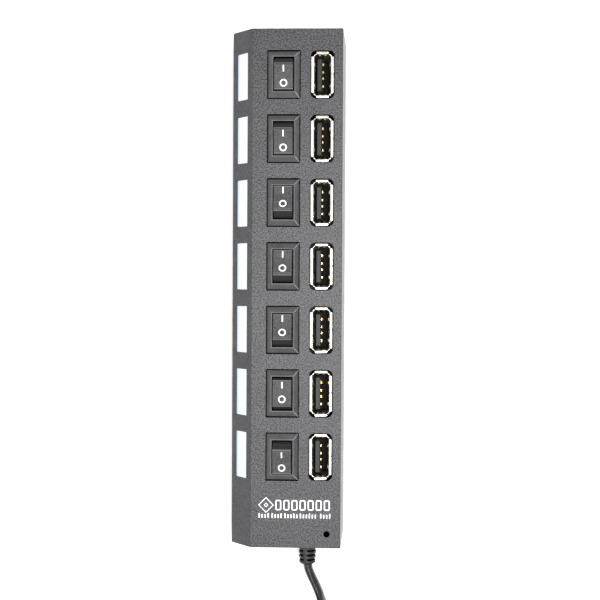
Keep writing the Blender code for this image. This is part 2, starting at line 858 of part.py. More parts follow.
def strain_relief():
    """Flange inside the case, neck through its wall, and a ribbed taper outside."""
    profile = [
        (3.4, -76.4),
        (3.4, -78.1),
        (RELIEF_NECK_RADIUS / MM, -78.1),
        (RELIEF_NECK_RADIUS / MM, -82.4),
        (2.9, -82.4),
        (2.9, -84.0),
        (2.6, -89.0),
        (2.35, -89.4),
        (1.75, -90.0),
    ]
    loops = [
        [(RELIEF_X + a, y * MM, RELIEF_Z + b) for a, b in circle(r * MM, steps=20)]
        for r, y in profile
    ]
    relief = build("strain_relief", loft(loops), cable_jacket())
    cut(relief, relief_slots())
    return relief


def smooth_route(route, spacing):
    """Evenly spaced points on a Catmull-Rom curve through a route's points."""
    points = [Vector(p) * MM for p in route]
    points = [2 * points[0] - points[1], *points, 2 * points[-1] - points[-2]]
    dense = []
    for a, b, c, d in zip(points, points[1:], points[2:], points[3:]):
        for i in range(24):
            t = i / 24
            dense.append(
                0.5 * (2 * b + (c - a) * t + (2 * a - 5 * b + 4 * c - d) * t**2)
                + 0.5 * (3 * b - a - 3 * c + d) * t**3
            )
    dense.append(points[-2])
    run = [0.0]
    for a, b in zip(dense, dense[1:]):
        run.append(run[-1] + (b - a).length)
    count = max(2, round(run[-1] / spacing))
    even, k = [], 0
    for i in range(count + 1):
        want = run[-1] * i / count
        while k < len(run) - 2 and run[k + 1] < want:
            k += 1
        share = (want - run[k]) / (run[k + 1] - run[k])
        even.append(dense[k].lerp(dense[k + 1], share))
    return even


def cable_tube(name, route):
    curve = bpy.data.curves.new(name, "CURVE")
    curve.dimensions = "3D"
    curve.bevel_depth = CABLE_RADIUS
    curve.bevel_resolution = 2
    curve.use_fill_caps = True
    points = smooth_route(route, 2.2 * CABLE_RADIUS * 2)
    spline = curve.splines.new("POLY")
    spline.points.add(len(points) - 1)
    for knot, point in zip(spline.points, points):
        knot.co = (*point, 1.0)
    curve.materials.append(cable_jacket())
    tube = bpy.data.objects.new(name, curve)
    bpy.context.scene.collection.objects.link(tube)
    return tube


def cable_coil():
    """The space that the coil's turns fill: a turned ring with rounded corners."""
    inner = COIL_RADII[0] - CABLE_RADIUS - 0.2 * MM
    outer = COIL_RADII[1] + CABLE_RADIUS + 0.2 * MM
    top = (COIL_LAYERS - 1) * COIL_LAYER_RISE + 2 * CABLE_RADIUS + 0.3 * MM
    profile = [
        (r + inner + (outer - inner) / 2, z + top / 2)
        for r, z in rounded_rectangle(outer - inner, top, 1.2 * MM, steps=2)
    ]
    steps = 36
    mesh_data = bmesh.new()
    rings = []
    for i in range(steps):
        angle = 2 * math.pi * i / steps
        ring = [(r * math.cos(angle), r * math.sin(angle), z) for r, z in profile]
        rings.append([mesh_data.verts.new(point) for point in ring])
    for i in range(steps):
        here, there = rings[i], rings[(i + 1) % steps]
        for j in range(len(profile)):
            k = (j + 1) % len(profile)
            mesh_data.faces.new((here[j], here[k], there[k], there[j]))
    coil = build("cable_coil", mesh_data, cable_jacket())
    coil.location = (*COIL_MIDDLE, 0.0)
    return coil


def plug_pieces():
    """USB-A plug on its back on the surface: overmould, folded shell and the insulator in it."""
    length, width, height = OVERMOULD
    front_x = PLUG_REAR_X + length
    sections = (
        (PLUG_REAR_X, 5.6, 5.0),
        (PLUG_REAR_X + 3.0 * MM, 7.0, 5.6),
        (PLUG_REAR_X + 5.5 * MM, 14.6, 7.4),
        (PLUG_REAR_X + 7.0 * MM, width / MM, height / MM),
        (front_x - 0.6 * MM, width / MM, height / MM),
        (front_x, width / MM - 1.0, height / MM - 1.0),
    )
    loops = [
        [
            (x, PLUG_Y + a, PLUG_AXIS_Z + b)
            for a, b in rounded_rectangle(w * MM, h * MM, 1.6 * MM)
        ]
        for x, w, h in sections
    ]
    overmould = build("plug_overmould", loft(loops), cable_jacket())
    shell_length, shell_width, shell_height = PLUG_SHELL
    seat_x = front_x - 6.5 * MM
    pocket_size = (shell_width + 2 * GAP, shell_height + 2 * GAP)
    pocket = rounded_loops(seat_x, front_x + 1 * MM, *pocket_size, 0.6 * MM)
    cut(overmould, loft(pocket))
    start_x = seat_x + GAP
    shell = build(
        "plug_shell",
        loft(rounded_loops(start_x, start_x + shell_length, shell_width, shell_height, 0.5 * MM)),
        nickel(),
    )
    hollow = rounded_loops(
        start_x - 1 * MM,
        start_x + shell_length + 1 * MM,
        shell_width - 0.6 * MM,
        shell_height - 0.6 * MM,
        0.2 * MM,
    )
    cut(shell, loft(hollow))
    for y in (-2.25 * MM, 2.25 * MM):
        window = rectangle(2.2 * MM, 2.2 * MM, (start_x + 12.1 * MM, PLUG_Y + y))
        cut(shell, prism(window, -2 * MM, 10 * MM))
    block = [
        [(x, PLUG_Y + a, PLUG_AXIS_Z - 1.0 * MM + b) for a, b in rectangle(10.8 * MM, 1.3 * MM)]
        for x in (start_x + 0.3 * MM, start_x + shell_length - 0.4 * MM)
    ]
    insulator = build("plug_insulator", loft(block), insulator_plastic())
    return overmould, shell, insulator


def rounded_loops(x0, x1, width, height, radius):
    return [
        [(x, PLUG_Y + a, PLUG_AXIS_Z + b) for a, b in rounded_rectangle(width, height, radius)]
        for x in (x0, x1)
    ]


def clear_scene():
    for thing in list(bpy.data.objects):
        bpy.data.objects.remove(thing)


def main():
    clear_scene()
    front_shell()
    back_shell()
    case_screws()
    rubber_feet()
    main_board()
    socket_shells()
    socket_insulators()
    switch_housings()
    rockers()
    light_guide()
    port_lights()
    power_light()
    hub_chip("hub_chip_1", -8.2 * MM, port_y(1) + 10 * MM)
    hub_chip("hub_chip_2", -8.2 * MM, port_y(5) + 10 * MM)
    crystal()
    capacitor()
    power_socket()
    strain_relief()
    cable_tube("cable_lead", LEAD_ROUTE)
    cable_coil()
    cable_tube("cable_tail", TAIL_ROUTE)
    plug_pieces()


main()
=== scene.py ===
import json
import math

import bmesh
import bpy
from mathutils import Matrix, Vector


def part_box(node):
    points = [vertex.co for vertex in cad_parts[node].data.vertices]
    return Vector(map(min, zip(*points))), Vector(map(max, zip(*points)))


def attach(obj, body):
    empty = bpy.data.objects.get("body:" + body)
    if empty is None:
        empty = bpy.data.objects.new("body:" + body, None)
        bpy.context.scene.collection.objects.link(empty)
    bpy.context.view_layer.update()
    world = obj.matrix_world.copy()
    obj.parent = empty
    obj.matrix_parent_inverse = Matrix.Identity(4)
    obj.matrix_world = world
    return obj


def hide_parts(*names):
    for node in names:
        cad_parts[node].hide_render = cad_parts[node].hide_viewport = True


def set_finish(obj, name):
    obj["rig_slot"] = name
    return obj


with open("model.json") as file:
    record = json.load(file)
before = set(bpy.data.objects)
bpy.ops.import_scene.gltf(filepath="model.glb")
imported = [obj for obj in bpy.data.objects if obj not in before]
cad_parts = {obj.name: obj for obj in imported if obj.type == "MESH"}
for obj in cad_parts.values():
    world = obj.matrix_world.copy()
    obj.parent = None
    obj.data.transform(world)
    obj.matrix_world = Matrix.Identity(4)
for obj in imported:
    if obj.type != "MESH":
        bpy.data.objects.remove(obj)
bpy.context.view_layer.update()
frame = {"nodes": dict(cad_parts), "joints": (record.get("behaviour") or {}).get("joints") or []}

MM = 0.001
PORTS = range(1, 8)

# Camera, in metres and radians
CAMERA_PLACE = (13.53 * MM, 1.68 * MM, 315.57 * MM)
CAMERA_TURN = (-0.017, 0.0316, 0.0053)
CAMERA_LENS = 55.916

# Lit panels: width, height, place and aim in metres, and power in watts
ORIGIN = (0.0, 0.0, 0.0)
PANELS = (
    ("overhead", 0.7, 0.7, (0.01, 0.0, 0.76), ORIGIN, 2.2),
    ("key", 0.2, 0.2, (0.1, -0.03, 0.75), ORIGIN, 4.2),  # for the sheen on the front
    ("left_box", 0.8, 0.8, (-0.6, 0.0, 0.35), ORIGIN, 1.8),  # for the chamfer
    ("right_box", 0.4, 0.4, (0.55, 0.35, 0.2), ORIGIN, 0.8),
    ("strip", 0.05, 0.8, (-0.06, -0.66, 0.62), (0.0, -0.1, 0.0), 1.2),  # a line along the cable
)
SURROUNDINGS = 0.5  # strength of the world's white

# From the frame
FRONT_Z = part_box("top_cover")[1].z
MOUTH_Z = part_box("usb_shell_1")[1].z
SOCKET_FLOOR_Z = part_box("usb_shell_1")[0].z
BOARD_TOP_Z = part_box("main_pcb")[1].z

# Case, as in the solids
CHAMFER_FOOT = (-17.65 * MM, 16.2 * MM)
WINDOW_X = -14.38 * MM
WINDOW = (5.05 * MM, 14.75 * MM, 0.22 * MM)  # up the chamfer, along the case, corner radius
WINDOW_SET_BACK = 0.12 * MM
OPENINGS_X = (-8.0 * MM, 16.0 * MM)  # all openings of the front lie between these
OPENINGS_END_Y = 79.5 * MM  # and between this and its opposite
RELIEF_X = 6.8 * MM
RELIEF_Z = 11.0 * MM
JACK_AXIS = (-4.8 * MM, 16.0 * MM)  # x and z

# Sockets: mid-line of the folded sheet, and its lips
SHEET = 0.3 * MM
SHELL = (5.4 * MM, 12.8 * MM, 0.75 * MM)
LIP_BEND = 0.3 * MM
LIP_ANGLE = math.radians(88)
LIP_FLAT = 0.55 * MM
SEAM_Y = 0.25 * MM
SEAM = 0.14 * MM
CONTACT_Y = (-3.4 * MM, -0.97 * MM, 0.97 * MM, 3.4 * MM)
TONGUE_TIP_Z = MOUTH_Z - 0.95 * MM

# Rockers
PIVOT_HEIGHT = 21.3 * MM
FACE_EDGE = (4.05 * MM, 5.1 * MM)  # along the case from the pivot, and up from it
DISH_RADIUS = 22.0 * MM

# Cable. Its turns go round the coil clockwise, seen from above.
CABLE_RADIUS = 1.4 * MM
COIL_MIDDLE = (1.7 * MM, -126.65 * MM)
COIL_RADIUS = 18.0 * MM
COIL_START = math.radians(26.6)
COIL_TURNS = 4.324
COIL_Z = 1.65 * MM
# Turns at the start and at the end of each shift to the next turn, and its steps inward and upward
COIL_SHIFTS = (
    (0.80, 0.98, 1, 0),
    (1.65, 1.83, 0, 1),
    (2.50, 2.68, -1, 0),
    (3.35, 3.53, 0, 1),
)
# Routes in millimetres
LEAD_ROUTE = (
    (6.85, -88.6, 11.0),
    (7.0, -90.3, 11.0),
    (7.15, -91.57, 10.95),
    (7.57, -92.75, 10.9),
    (8.29, -94.47, 10.7),
    (9.31, -96.7, 10.15),
    (10.55, -99.88, 9.1),
    (11.3, -102.6, 7.5),
    (12.1, -105.2, 5.1),
    (12.75, -107.3, 3.3),
    (13.6, -109.7, 1.9),
    (14.9, -112.3, 1.5),
    (16.5, -115.75, 1.6),
)
TAIL_ROUTE = (
    (-2.3, -144.68, 7.0),
    (-6.2, -144.7, 6.4),
    (-9.9, -144.75, 5.3),
    (-13.5, -145.1, 3.4),
    (-17.0, -146.9, 1.9),
    (-19.2, -150.2, 1.42),
    (-19.3, -154.2, 1.42),
    (-17.4, -157.8, 1.9),
    (-14.2, -159.9, 3.0),
    (-11.5, -160.4, 3.8),
    (-9.3, -160.4, 4.0),
    (-8.0, -160.4, 4.0),
)


# ---------------------------------------------------------------- camera, light, floor


def look_down():
    """Camera straight above the front face."""
    data = bpy.data.cameras.new("camera")
    data.sensor_width = 36.0
    data.lens = CAMERA_LENS
    data.dof.use_dof = False
    camera = bpy.data.objects.new("camera", data)
    camera.location = CAMERA_PLACE
    camera.rotation_euler = CAMERA_TURN
    bpy.context.scene.collection.objects.link(camera)
    bpy.context.scene.camera = camera


def soft_light(name, width, height, place, aim, power):
    """A lit panel that faces its aim."""
    data = bpy.data.lights.new(name, "AREA")
    data.shape = "RECTANGLE"
    data.size = width
    data.size_y = height
    data.energy = power
    light = bpy.data.objects.new(name, data)
    light.location = place
    light.rotation_euler = (Vector(place) - Vector(aim)).to_track_quat("Z", "Y").to_euler()
    bpy.context.scene.collection.objects.link(light)


def studio():
    """White surroundings, the lit panels, and a pale floor just below the feet."""
    scene = bpy.context.scene
    scene.view_settings.view_transform = "Standard"
    world = bpy.data.worlds.new("studio")
    world.use_nodes = True
    background = world.node_tree.nodes["Background"]
    background.inputs["Color"].default_value = (1.0, 1.0, 1.0, 1.0)
    background.inputs["Strength"].default_value = SURROUNDINGS
    scene.world = world
    for panel in PANELS:
        soft_light(*panel)
    data = bmesh.new()
    bmesh.ops.create_grid(data, x_segments=1, y_segments=1, size=1.5)
    mesh = bpy.data.meshes.new("floor")
    data.to_mesh(mesh)
    data.free()
    paint = bpy.data.materials.new("floor_paint")
    paint.use_nodes = True
    shader = paint.node_tree.nodes["Principled BSDF"]
    shader.inputs["Base Color"].default_value = (0.93, 0.93, 0.93, 1.0)
    shader.inputs["Roughness"].default_value = 0.7
    mesh.materials.append(paint)
    floor = bpy.data.objects.new("floor", mesh)
    floor.location.z = -0.05 * MM
    scene.collection.objects.link(floor)


# ---------------------------------------------------------------- materials


# Painted shade: the colour put down in openings and slots
PAINTED_SHADE_BLACK = (0.003, 0.003, 0.003)  # down in openings and slots


class Surface:
    """A Principled BSDF material, and short ways to add texture nodes to it."""

    def __init__(self, name, colour, roughness, metallic=0.0, **sockets):
        self.material = bpy.data.materials.new(name)
        self.material.use_nodes = True
        self.tree = self.material.node_tree
        self.shader = self.tree.nodes["Principled BSDF"]
        self.set("Base Color", (*colour, 1.0))
        self.set("Roughness", roughness)
        self.set("Metallic", metallic)
        for socket, value in sockets.items():
            self.set(socket.replace("_", " "), value)
        self.place = self.node("TexCoord").outputs["Object"]
        self.relief = None

    def set(self, socket, value):
        self.shader.inputs[socket].default_value = value

    def node(self, kind):
        return self.tree.nodes.new("ShaderNode" + kind)

    def join(self, source, target):
        self.tree.links.new(source, target)

    def axes(self, vector):
        """X, Y and Z of a vector."""
        parts = self.node("SeparateXYZ")
        self.join(vector, parts.inputs["Vector"])
        return [parts.outputs[axis] for axis in "XYZ"]

    def upward(self):
        """How far the surface faces up: 1 on level faces, 0 on upright walls."""
        return self.axes(self.node("NewGeometry").outputs["Normal"])[2]

    def height(self):
        """Z of the place on the piece, which is its height where the piece isn't moved."""
        return self.axes(self.place)[2]

    def stretched(self, scale):
        """Object coordinates scaled by this much along X, Y and Z."""
        mapping = self.node("Mapping")
        mapping.inputs["Scale"].default_value = scale
        self.join(self.place, mapping.inputs["Vector"])
        return mapping.outputs["Vector"]

    def noise(self, size, detail=2.0, place=None, rough=0.5):
        """Cloudy noise whose patches are about this many metres across, from 0 to 1."""
        noise = self.node("TexNoise")
        noise.inputs["Scale"].default_value = 1.0 / size
        noise.inputs["Detail"].default_value = detail
        noise.inputs["Roughness"].default_value = rough
        self.join(place or self.place, noise.inputs["Vector"])
        return noise.outputs["Fac"]

    def between(self, value, low, high, start=0.0, end=1.0):
        """Value mapped from low...high to start...end, and held there outside."""
        step = self.node("MapRange")
        step.inputs["From Min"].default_value = low
        step.inputs["From Max"].default_value = high
        step.inputs["To Min"].default_value = start
        step.inputs["To Max"].default_value = end
        self.join(value, step.inputs["Value"])
        return step.outputs["Result"]

    def spread(self, noise, start=0.0, end=1.0):
        """Noise mapped to start...end; most of it lies within 0.3...0.7."""
        return self.between(noise, 0.3, 0.7, start, end)

    def math(self, operation, first, second):
        step = self.node("Math")
        step.operation = operation
        for value, socket in zip((first, second), step.inputs):
            if isinstance(value, (int, float)):
                socket.default_value = value
            else:
                self.join(value, socket)
        return step.outputs["Value"]

    def mix(self, share, first, second):
        """A colour between two, each a colour or the output of a node."""
        mix = self.node("Mix")
        mix.data_type = "RGBA"
        self.join(share, mix.inputs["Factor"])
        for name, value in (("A", first), ("B", second)):
            socket = [s for s in mix.inputs if s.name == name and s.type == "RGBA"][0]
            if isinstance(value, tuple):
                socket.default_value = (*value, 1.0)
            else:
                self.join(value, socket)
        return [s for s in mix.outputs if s.type == "RGBA"][0]

    def colour(self, value):
        self.join(value, self.shader.inputs["Base Color"])

    def roughness(self, value):
        self.join(value, self.shader.inputs["Roughness"])

    def shine(self, value):
        self.join(value, self.shader.inputs["Specular IOR Level"])

    def colour_with_painted_shade(self, clear_of_painted_shade, colour, shine=0.5):
        """This colour and shine where the mask is 1, and painted shade, near black and dull, where it is
        0.
        """
        self.colour(self.mix(clear_of_painted_shade, PAINTED_SHADE_BLACK, colour))
        self.shine(self.math("MULTIPLY", clear_of_painted_shade, shine))

    def bump(self, height, depth, strength=1.0):
        """Adds relief this many metres deep where height goes from 0 to 1."""
        bump = self.node("Bump")
        bump.inputs["Strength"].default_value = strength
        bump.inputs["Distance"].default_value = depth
        self.join(height, bump.inputs["Height"])
        if self.relief:
            self.join(self.relief, bump.inputs["Normal"])
        self.relief = bump.outputs["Normal"]
        self.join(self.relief, self.shader.inputs["Normal"])


def eroded_plastic():
    """Black ABS from a spark-eroded mould.

    Its grain is coarse on the front and finer and glossier down the walls. Down in the openings for
    the switches, sockets and power light, painted shade makes it dull and near black.
    """
    look = Surface("eroded_plastic", (0.04, 0.04, 0.041), 0.5)
    look.set("Specular Tint", (0.97, 0.965, 1.0, 1.0))
    grain = look.noise(0.5 * MM, rough=0.7)
    cloud = look.noise(6.0 * MM, 3.0)
    upward = look.upward()
    front = look.between(upward, 0.75, 0.95, 0.4, 1.0)
    sparks = look.math("MULTIPLY", look.between(grain, 0.38, 0.62, -0.7, 0.7), front)
    patches = look.spread(cloud, 0.35, 0.65)
    tone = look.math("ADD", sparks, patches)
    plastic = look.mix(tone, (0.006, 0.006, 0.0065), (0.05, 0.0495, 0.053))
    x, y, z = look.axes(look.place)
    (left, right), end = OPENINGS_X, OPENINGS_END_Y
    # Painted shade: below the front, within the span of the openings, the colour goes near black and dull
    shallow = look.between(z, FRONT_Z - 0.3 * MM, FRONT_Z - 0.1 * MM)
    left_of_openings = look.between(x, left + 0.2 * MM, left - 0.2 * MM)
    right_of_openings = look.between(x, right - 0.2 * MM, right + 0.2 * MM)
    past_openings = look.between(look.math("ABSOLUTE", y, 0.0), end - 0.5 * MM, end + 0.5 * MM)
    beside = look.math("MAXIMUM", left_of_openings, right_of_openings)
    clear_of_painted_shade = look.math("MAXIMUM", shallow, look.math("MAXIMUM", beside, past_openings))
    glint = look.math("ADD", look.math("MULTIPLY", sparks, 0.17), 0.5)
    look.colour_with_painted_shade(clear_of_painted_shade, plastic, glint)
    slope = look.between(upward, 0.1, 0.5, 0.08, 0.2)
    look.roughness(look.math("ADD", look.spread(grain, 0.16, 0.26), slope))
    look.bump(look.math("MULTIPLY", grain, front), 0.14 * MM, 0.8)
    look.bump(look.noise(0.2 * MM), 0.015 * MM, 0.5)
    return look.material


def switch_plastic():
    """Black nylon of the switches, with a finer grain than the case; painted shade makes upright walls
    near black.
    """
    look = Surface("switch_plastic", (0.065, 0.065, 0.066), 0.42)
    grain = look.noise(0.3 * MM, rough=0.6)
    cloud = look.noise(2.5 * MM)
    nylon = look.mix(look.spread(cloud), (0.06, 0.0595, 0.0615), (0.082, 0.0815, 0.0845))
    # Painted shade: upright walls near black and dull
    look.colour_with_painted_shade(look.between(look.upward(), 0.15, 0.3), nylon)
    look.roughness(look.spread(grain, 0.46, 0.58))
    look.bump(grain, 0.03 * MM, 0.8)
    return look.material


def highlight_nylon():
    """The switches' nylon with a painted highlight on an edge: lighter and smoother."""
    look = Surface("highlight_nylon", (0.3, 0.3, 0.3), 0.35)
    edge_highlight = look.noise(0.6 * MM, 3.0)
    look.colour(look.mix(look.between(edge_highlight, 0.35, 0.65), (0.14, 0.14, 0.143), (0.3, 0.3, 0.303)))
    look.bump(edge_highlight, 0.02 * MM, 0.6)
    return look.material


def rocker_plastic():
    """The switches' nylon: a speckled face, ends in painted shade, darker and duller down in the opening,
    and a painted highlight along the face's edges.
    """
    look = Surface("rocker_plastic", (0.068, 0.068, 0.069), 0.42)
    grain = look.noise(0.45 * MM, rough=0.6)
    upward = look.upward()
    face = look.mix(look.between(grain, 0.36, 0.64), (0.026, 0.026, 0.027), (0.074, 0.074, 0.0765))
    # Painted shade: the steep ends are darker and less shiny than the face, and near black down in the
    # opening
    level = look.between(upward, 0.65, 0.9)
    out_of_opening = look.between(look.height(), FRONT_Z + 0.3 * MM, FRONT_Z + 1.9 * MM)
    end = look.mix(out_of_opening, (0.003, 0.003, 0.0035), (0.03, 0.03, 0.031))
    nylon = look.mix(level, end, face)
    # Painted highlight: a lighter line where the face rounds over into the ends
    onto_edge, off_edge = look.between(upward, 0.72, 0.77), look.between(upward, 0.9, 0.86)
    edge_highlight = look.math("MULTIPLY", onto_edge, off_edge)
    look.colour(look.mix(edge_highlight, nylon, (0.16, 0.16, 0.163)))
    look.shine(look.between(level, 0.0, 1.0, 0.1, 0.4))
    look.roughness(look.spread(grain, 0.55, 0.65))
    look.bump(grain, 0.05 * MM, 0.8)
    return look.material


def insulator_plastic():
    """Black moulding, with painted shade deep inside a socket that takes its shine."""
    look = Surface("insulator_plastic", (0.02, 0.02, 0.02), 0.45)
    grain = look.noise(0.3 * MM, 3.0)
    look.colour(look.mix(grain, (0.006, 0.006, 0.0065), (0.015, 0.015, 0.0155)))
    look.roughness(look.spread(grain, 0.4, 0.55))
    # Painted shade: less shine deeper in the socket
    deep, shallow = 13 * MM, 20.5 * MM
    look.shine(look.between(look.height(), deep, shallow, 0.05, 0.32))
    look.bump(grain, 0.01 * MM, 0.6)
    return look.material


def nickel():
    """Nickel plate on drawn sheet: fine scratches along the draw, and a warm uneven tarnish."""
    look = Surface("nickel", (0.82, 0.78, 0.7), 0.3, 1.0)
    scratches = look.noise(0.12 * MM, 2.0, look.stretched((1.0, 1.0, 0.06)))
    tarnish = look.noise(1.6 * MM, 4.0, rough=0.6)
    look.colour(look.mix(look.between(tarnish, 0.42, 0.7), (0.86, 0.83, 0.77), (0.74, 0.64, 0.47)))
    look.roughness(look.spread(scratches, 0.2, 0.38))
    look.bump(scratches, 0.006 * MM, 0.5)
    return look.material


def gilt():
    """Gold flash on the contact springs, thinner towards its edges."""
    look = Surface("gilt", (0.85, 0.62, 0.28), 0.25, 1.0)
    worn = look.noise(0.7 * MM, 3.0)
    look.colour(look.mix(look.between(worn, 0.5, 0.75), (0.9, 0.66, 0.3), (0.78, 0.66, 0.42)))
    look.roughness(look.spread(look.noise(0.1 * MM), 0.18, 0.34))
    look.bump(look.noise(0.15 * MM), 0.004 * MM, 0.5)
    return look.material


def lit_window():
    """Frosted clear plastic, lit from inside, bluer towards the cable's end and along its lower edge."""
    look = Surface("lit_window", (0.15, 0.16, 0.17), 0.4)
    _, y, z = look.axes(look.place)
    towards_cable = look.between(y, 50 * MM, -50 * MM)
    low_edge = look.between(z, 17.9 * MM, 18.7 * MM, 0.9, 0.0)
    frost = look.noise(1.2 * MM, 3.0)
    glow = look.mix(towards_cable, (1.0, 1.0, 1.0), (0.9, 0.98, 1.0))
    glow = look.mix(look.between(frost, 0.35, 0.75, 0.0, 0.3), glow, (0.86, 0.93, 1.0))
    glow = look.mix(low_edge, glow, (0.56, 0.68, 0.86))
    look.join(glow, look.shader.inputs["Emission Color"])
    look.set("Emission Strength", 0.74)
    look.colour(look.mix(frost, (0.17, 0.18, 0.19), (0.12, 0.13, 0.15)))
    look.bump(look.noise(0.25 * MM), 0.01 * MM, 0.4)
    return look.material


def white_ink():
    """Pad-printed ink: dense, with a slightly uneven edge to its cover."""
    look = Surface("white_ink", (0.9, 0.9, 0.9), 0.5)
    cover = look.noise(0.35 * MM, 3.0)
    look.colour(look.mix(look.between(cover, 0.25, 0.45), (0.62, 0.62, 0.63), (0.93, 0.93, 0.93)))
    look.roughness(look.spread(cover, 0.42, 0.6))
    look.bump(cover, 0.008 * MM, 0.5)
    return look.material


def cable_vinyl():
    """Black PVC, satin, with the faint ripple and streaks of extrusion."""
    look = Surface("cable_vinyl", (0.02, 0.02, 0.021), 0.3, Specular_IOR_Level=0.8)
    ripple = look.noise(0.9 * MM)
    fine = look.noise(0.12 * MM)
    look.colour(look.mix(ripple, (0.005, 0.005, 0.0055), (0.01, 0.01, 0.0105)))
    look.roughness(look.spread(fine, 0.14, 0.22))
    look.bump(ripple, 0.03 * MM, 0.2)
    look.bump(fine, 0.004 * MM, 0.4)
    return look.material


def relief_vinyl():
    """Softer PVC of the strain relief and the plug's overmould, moulded matt.

    Near the axis of the strain relief, down in its slots, painted shade makes it near black.
    """
    look = Surface("relief_vinyl", (0.045, 0.045, 0.046), 0.5)
    grain = look.noise(0.22 * MM, rough=0.6)
    cloud = look.noise(2.0 * MM)
    vinyl = look.mix(look.spread(cloud), (0.012, 0.012, 0.013), (0.024, 0.024, 0.025))
    off_axis = look.node("VectorMath")
    off_axis.operation = "MULTIPLY_ADD"
    look.join(look.place, off_axis.inputs[0])
    off_axis.inputs[1].default_value = (1.0, 0.0, 1.0)
    off_axis.inputs[2].default_value = (-RELIEF_X, 0.0, -RELIEF_Z)
    radius = look.node("VectorMath")
    radius.operation = "LENGTH"
    look.join(off_axis.outputs["Vector"], radius.inputs[0])
    # Painted shade: near black and dull inside the ribs' outer radius, down in the slots
    look.colour_with_painted_shade(look.between(radius.outputs["Value"], 2.35 * MM, 2.7 * MM), vinyl)
    look.roughness(look.spread(grain, 0.42, 0.58))
    look.bump(grain, 0.02 * MM, 0.6)
    return look.material


def board_mask():
    """Dark green mask over fibreglass: copper shapes show through as lighter, raised areas."""
    look = Surface("board_mask", (0.02, 0.12, 0.05), 0.35)
    tracks = look.node("TexBrick")
    look.join(look.stretched((1.0, 1.0, 0.0)), tracks.inputs["Vector"])
    tracks.inputs["Scale"].default_value = 160.0
    tracks.inputs["Mortar Size"].default_value = 0.045
    tracks.inputs["Mortar Smooth"].default_value = 0.1
    copper = tracks.outputs["Fac"]
    weave = look.noise(0.5 * MM)
    mask = look.mix(weave, (0.003, 0.008, 0.005), (0.005, 0.012, 0.007))
    look.colour(look.mix(copper, mask, (0.012, 0.03, 0.017)))
    look.set("Specular IOR Level", 0.2)
    look.roughness(look.spread(weave, 0.26, 0.42))
    look.bump(copper, 0.035 * MM, 0.6)
    look.bump(weave, 0.01 * MM, 0.5)
    return look.material


def lamp_resin():
    """Milky resin of the port lights and the power light."""
    look = Surface("lamp_resin", (0.8, 0.84, 0.88), 0.2, Transmission_Weight=0.35, IOR=1.5)
    frost = look.noise(0.8 * MM)
    look.colour(look.mix(frost, (0.78, 0.8, 0.7), (0.86, 0.9, 0.95)))
    look.bump(frost, 0.01 * MM, 0.4)
    return look.material


def chip_resin():
    """Matt moulding of the hub chips."""
    look = Surface("chip_resin", (0.025, 0.025, 0.027), 0.6)
    grain = look.noise(0.12 * MM, 3.0, rough=0.7)
    look.colour(look.mix(grain, (0.018, 0.018, 0.019), (0.04, 0.04, 0.043)))
    look.roughness(look.spread(grain, 0.5, 0.72))
    look.bump(grain, 0.015 * MM, 0.7)
    return look.material


def screw_steel():
    """Steel of the case screws, zinc in patches, with fine turning marks."""
    look = Surface("screw_steel", (0.4, 0.4, 0.41), 0.35, 1.0)
    turning = look.noise(0.15 * MM)
    look.colour(look.mix(look.noise(0.9 * MM, 3.0), (0.3, 0.3, 0.31), (0.55, 0.54, 0.52)))
    look.roughness(look.spread(turning, 0.25, 0.45))
    look.bump(turning, 0.008 * MM, 0.5)
    return look.material


def foot_rubber():
    """Matt rubber of the feet."""
    look = Surface("foot_rubber", (0.035, 0.035, 0.035), 0.85)
    grain = look.noise(0.3 * MM, 3.0, rough=0.7)
    look.colour(look.mix(grain, (0.022, 0.022, 0.022), (0.055, 0.055, 0.054)))
    look.roughness(look.spread(grain, 0.75, 0.95))
    look.bump(grain, 0.03 * MM, 0.7)
    return look.material


def sleeve_film():
    """Dark blue shrink film round the capacitor."""
    look = Surface("sleeve_film", (0.03, 0.04, 0.08), 0.3)
    shrink = look.noise(1.0 * MM, 2.0, look.stretched((1.0, 1.0, 0.3)))
    look.colour(look.mix(shrink, (0.02, 0.028, 0.06), (0.045, 0.06, 0.12)))
    look.roughness(look.spread(shrink, 0.22, 0.36))
    look.bump(shrink, 0.03 * MM, 0.4)
    return look.material


def dull_aluminium():
    """The capacitor's can."""
    look = Surface("dull_aluminium", (0.75, 0.75, 0.76), 0.35, 1.0)
    drawn = look.noise(0.14 * MM)
    look.colour(look.mix(look.noise(1.1 * MM, 3.0), (0.66, 0.66, 0.68), (0.82, 0.82, 0.82)))
    look.roughness(look.spread(drawn, 0.26, 0.44))
    look.bump(drawn, 0.006 * MM, 0.5)
    return look.material


# ---------------------------------------------------------------- mesh helpers


def piece(name, data, look, slot, body="hub", smooth=40, where=None):
    """Makes a piece from a bmesh, puts it where it goes, and lets it ride on a body."""
    bmesh.ops.recalc_face_normals(data, faces=data.faces)
    mesh = bpy.data.meshes.new(name)
    data.to_mesh(mesh)
    data.free()
    mesh.materials.append(look)
    mesh.shade_smooth()
    mesh.set_sharp_from_angle(angle=math.radians(smooth))
    return placed(name, mesh, slot, body, where)


def placed(name, mesh, slot, body="hub", where=None):
    made = bpy.data.objects.new(name, mesh)
    bpy.context.scene.collection.objects.link(made)
    if where:
        made.matrix_world = where
    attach(made, body)
    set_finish(made, slot)
    return made


def even_shading(made):
    """Keeps large flat faces flat where a small rounded edge meets them."""
    step = made.modifiers.new("even_shading", "WEIGHTED_NORMAL")
    step.keep_sharp = True


def settle(made):
    """Makes what a piece's modifiers give its own mesh."""
    graph = bpy.context.evaluated_depsgraph_get()
    made.data = bpy.data.meshes.new_from_object(made.evaluated_get(graph))
    made.modifiers.clear()


def round_edges(data, edges, radius, segments):
    bmesh.ops.bevel(
        data,
        geom=edges,
        offset=radius,
        segments=segments,
        profile=0.5,
        affect="EDGES",
        clamp_overlap=True,
    )


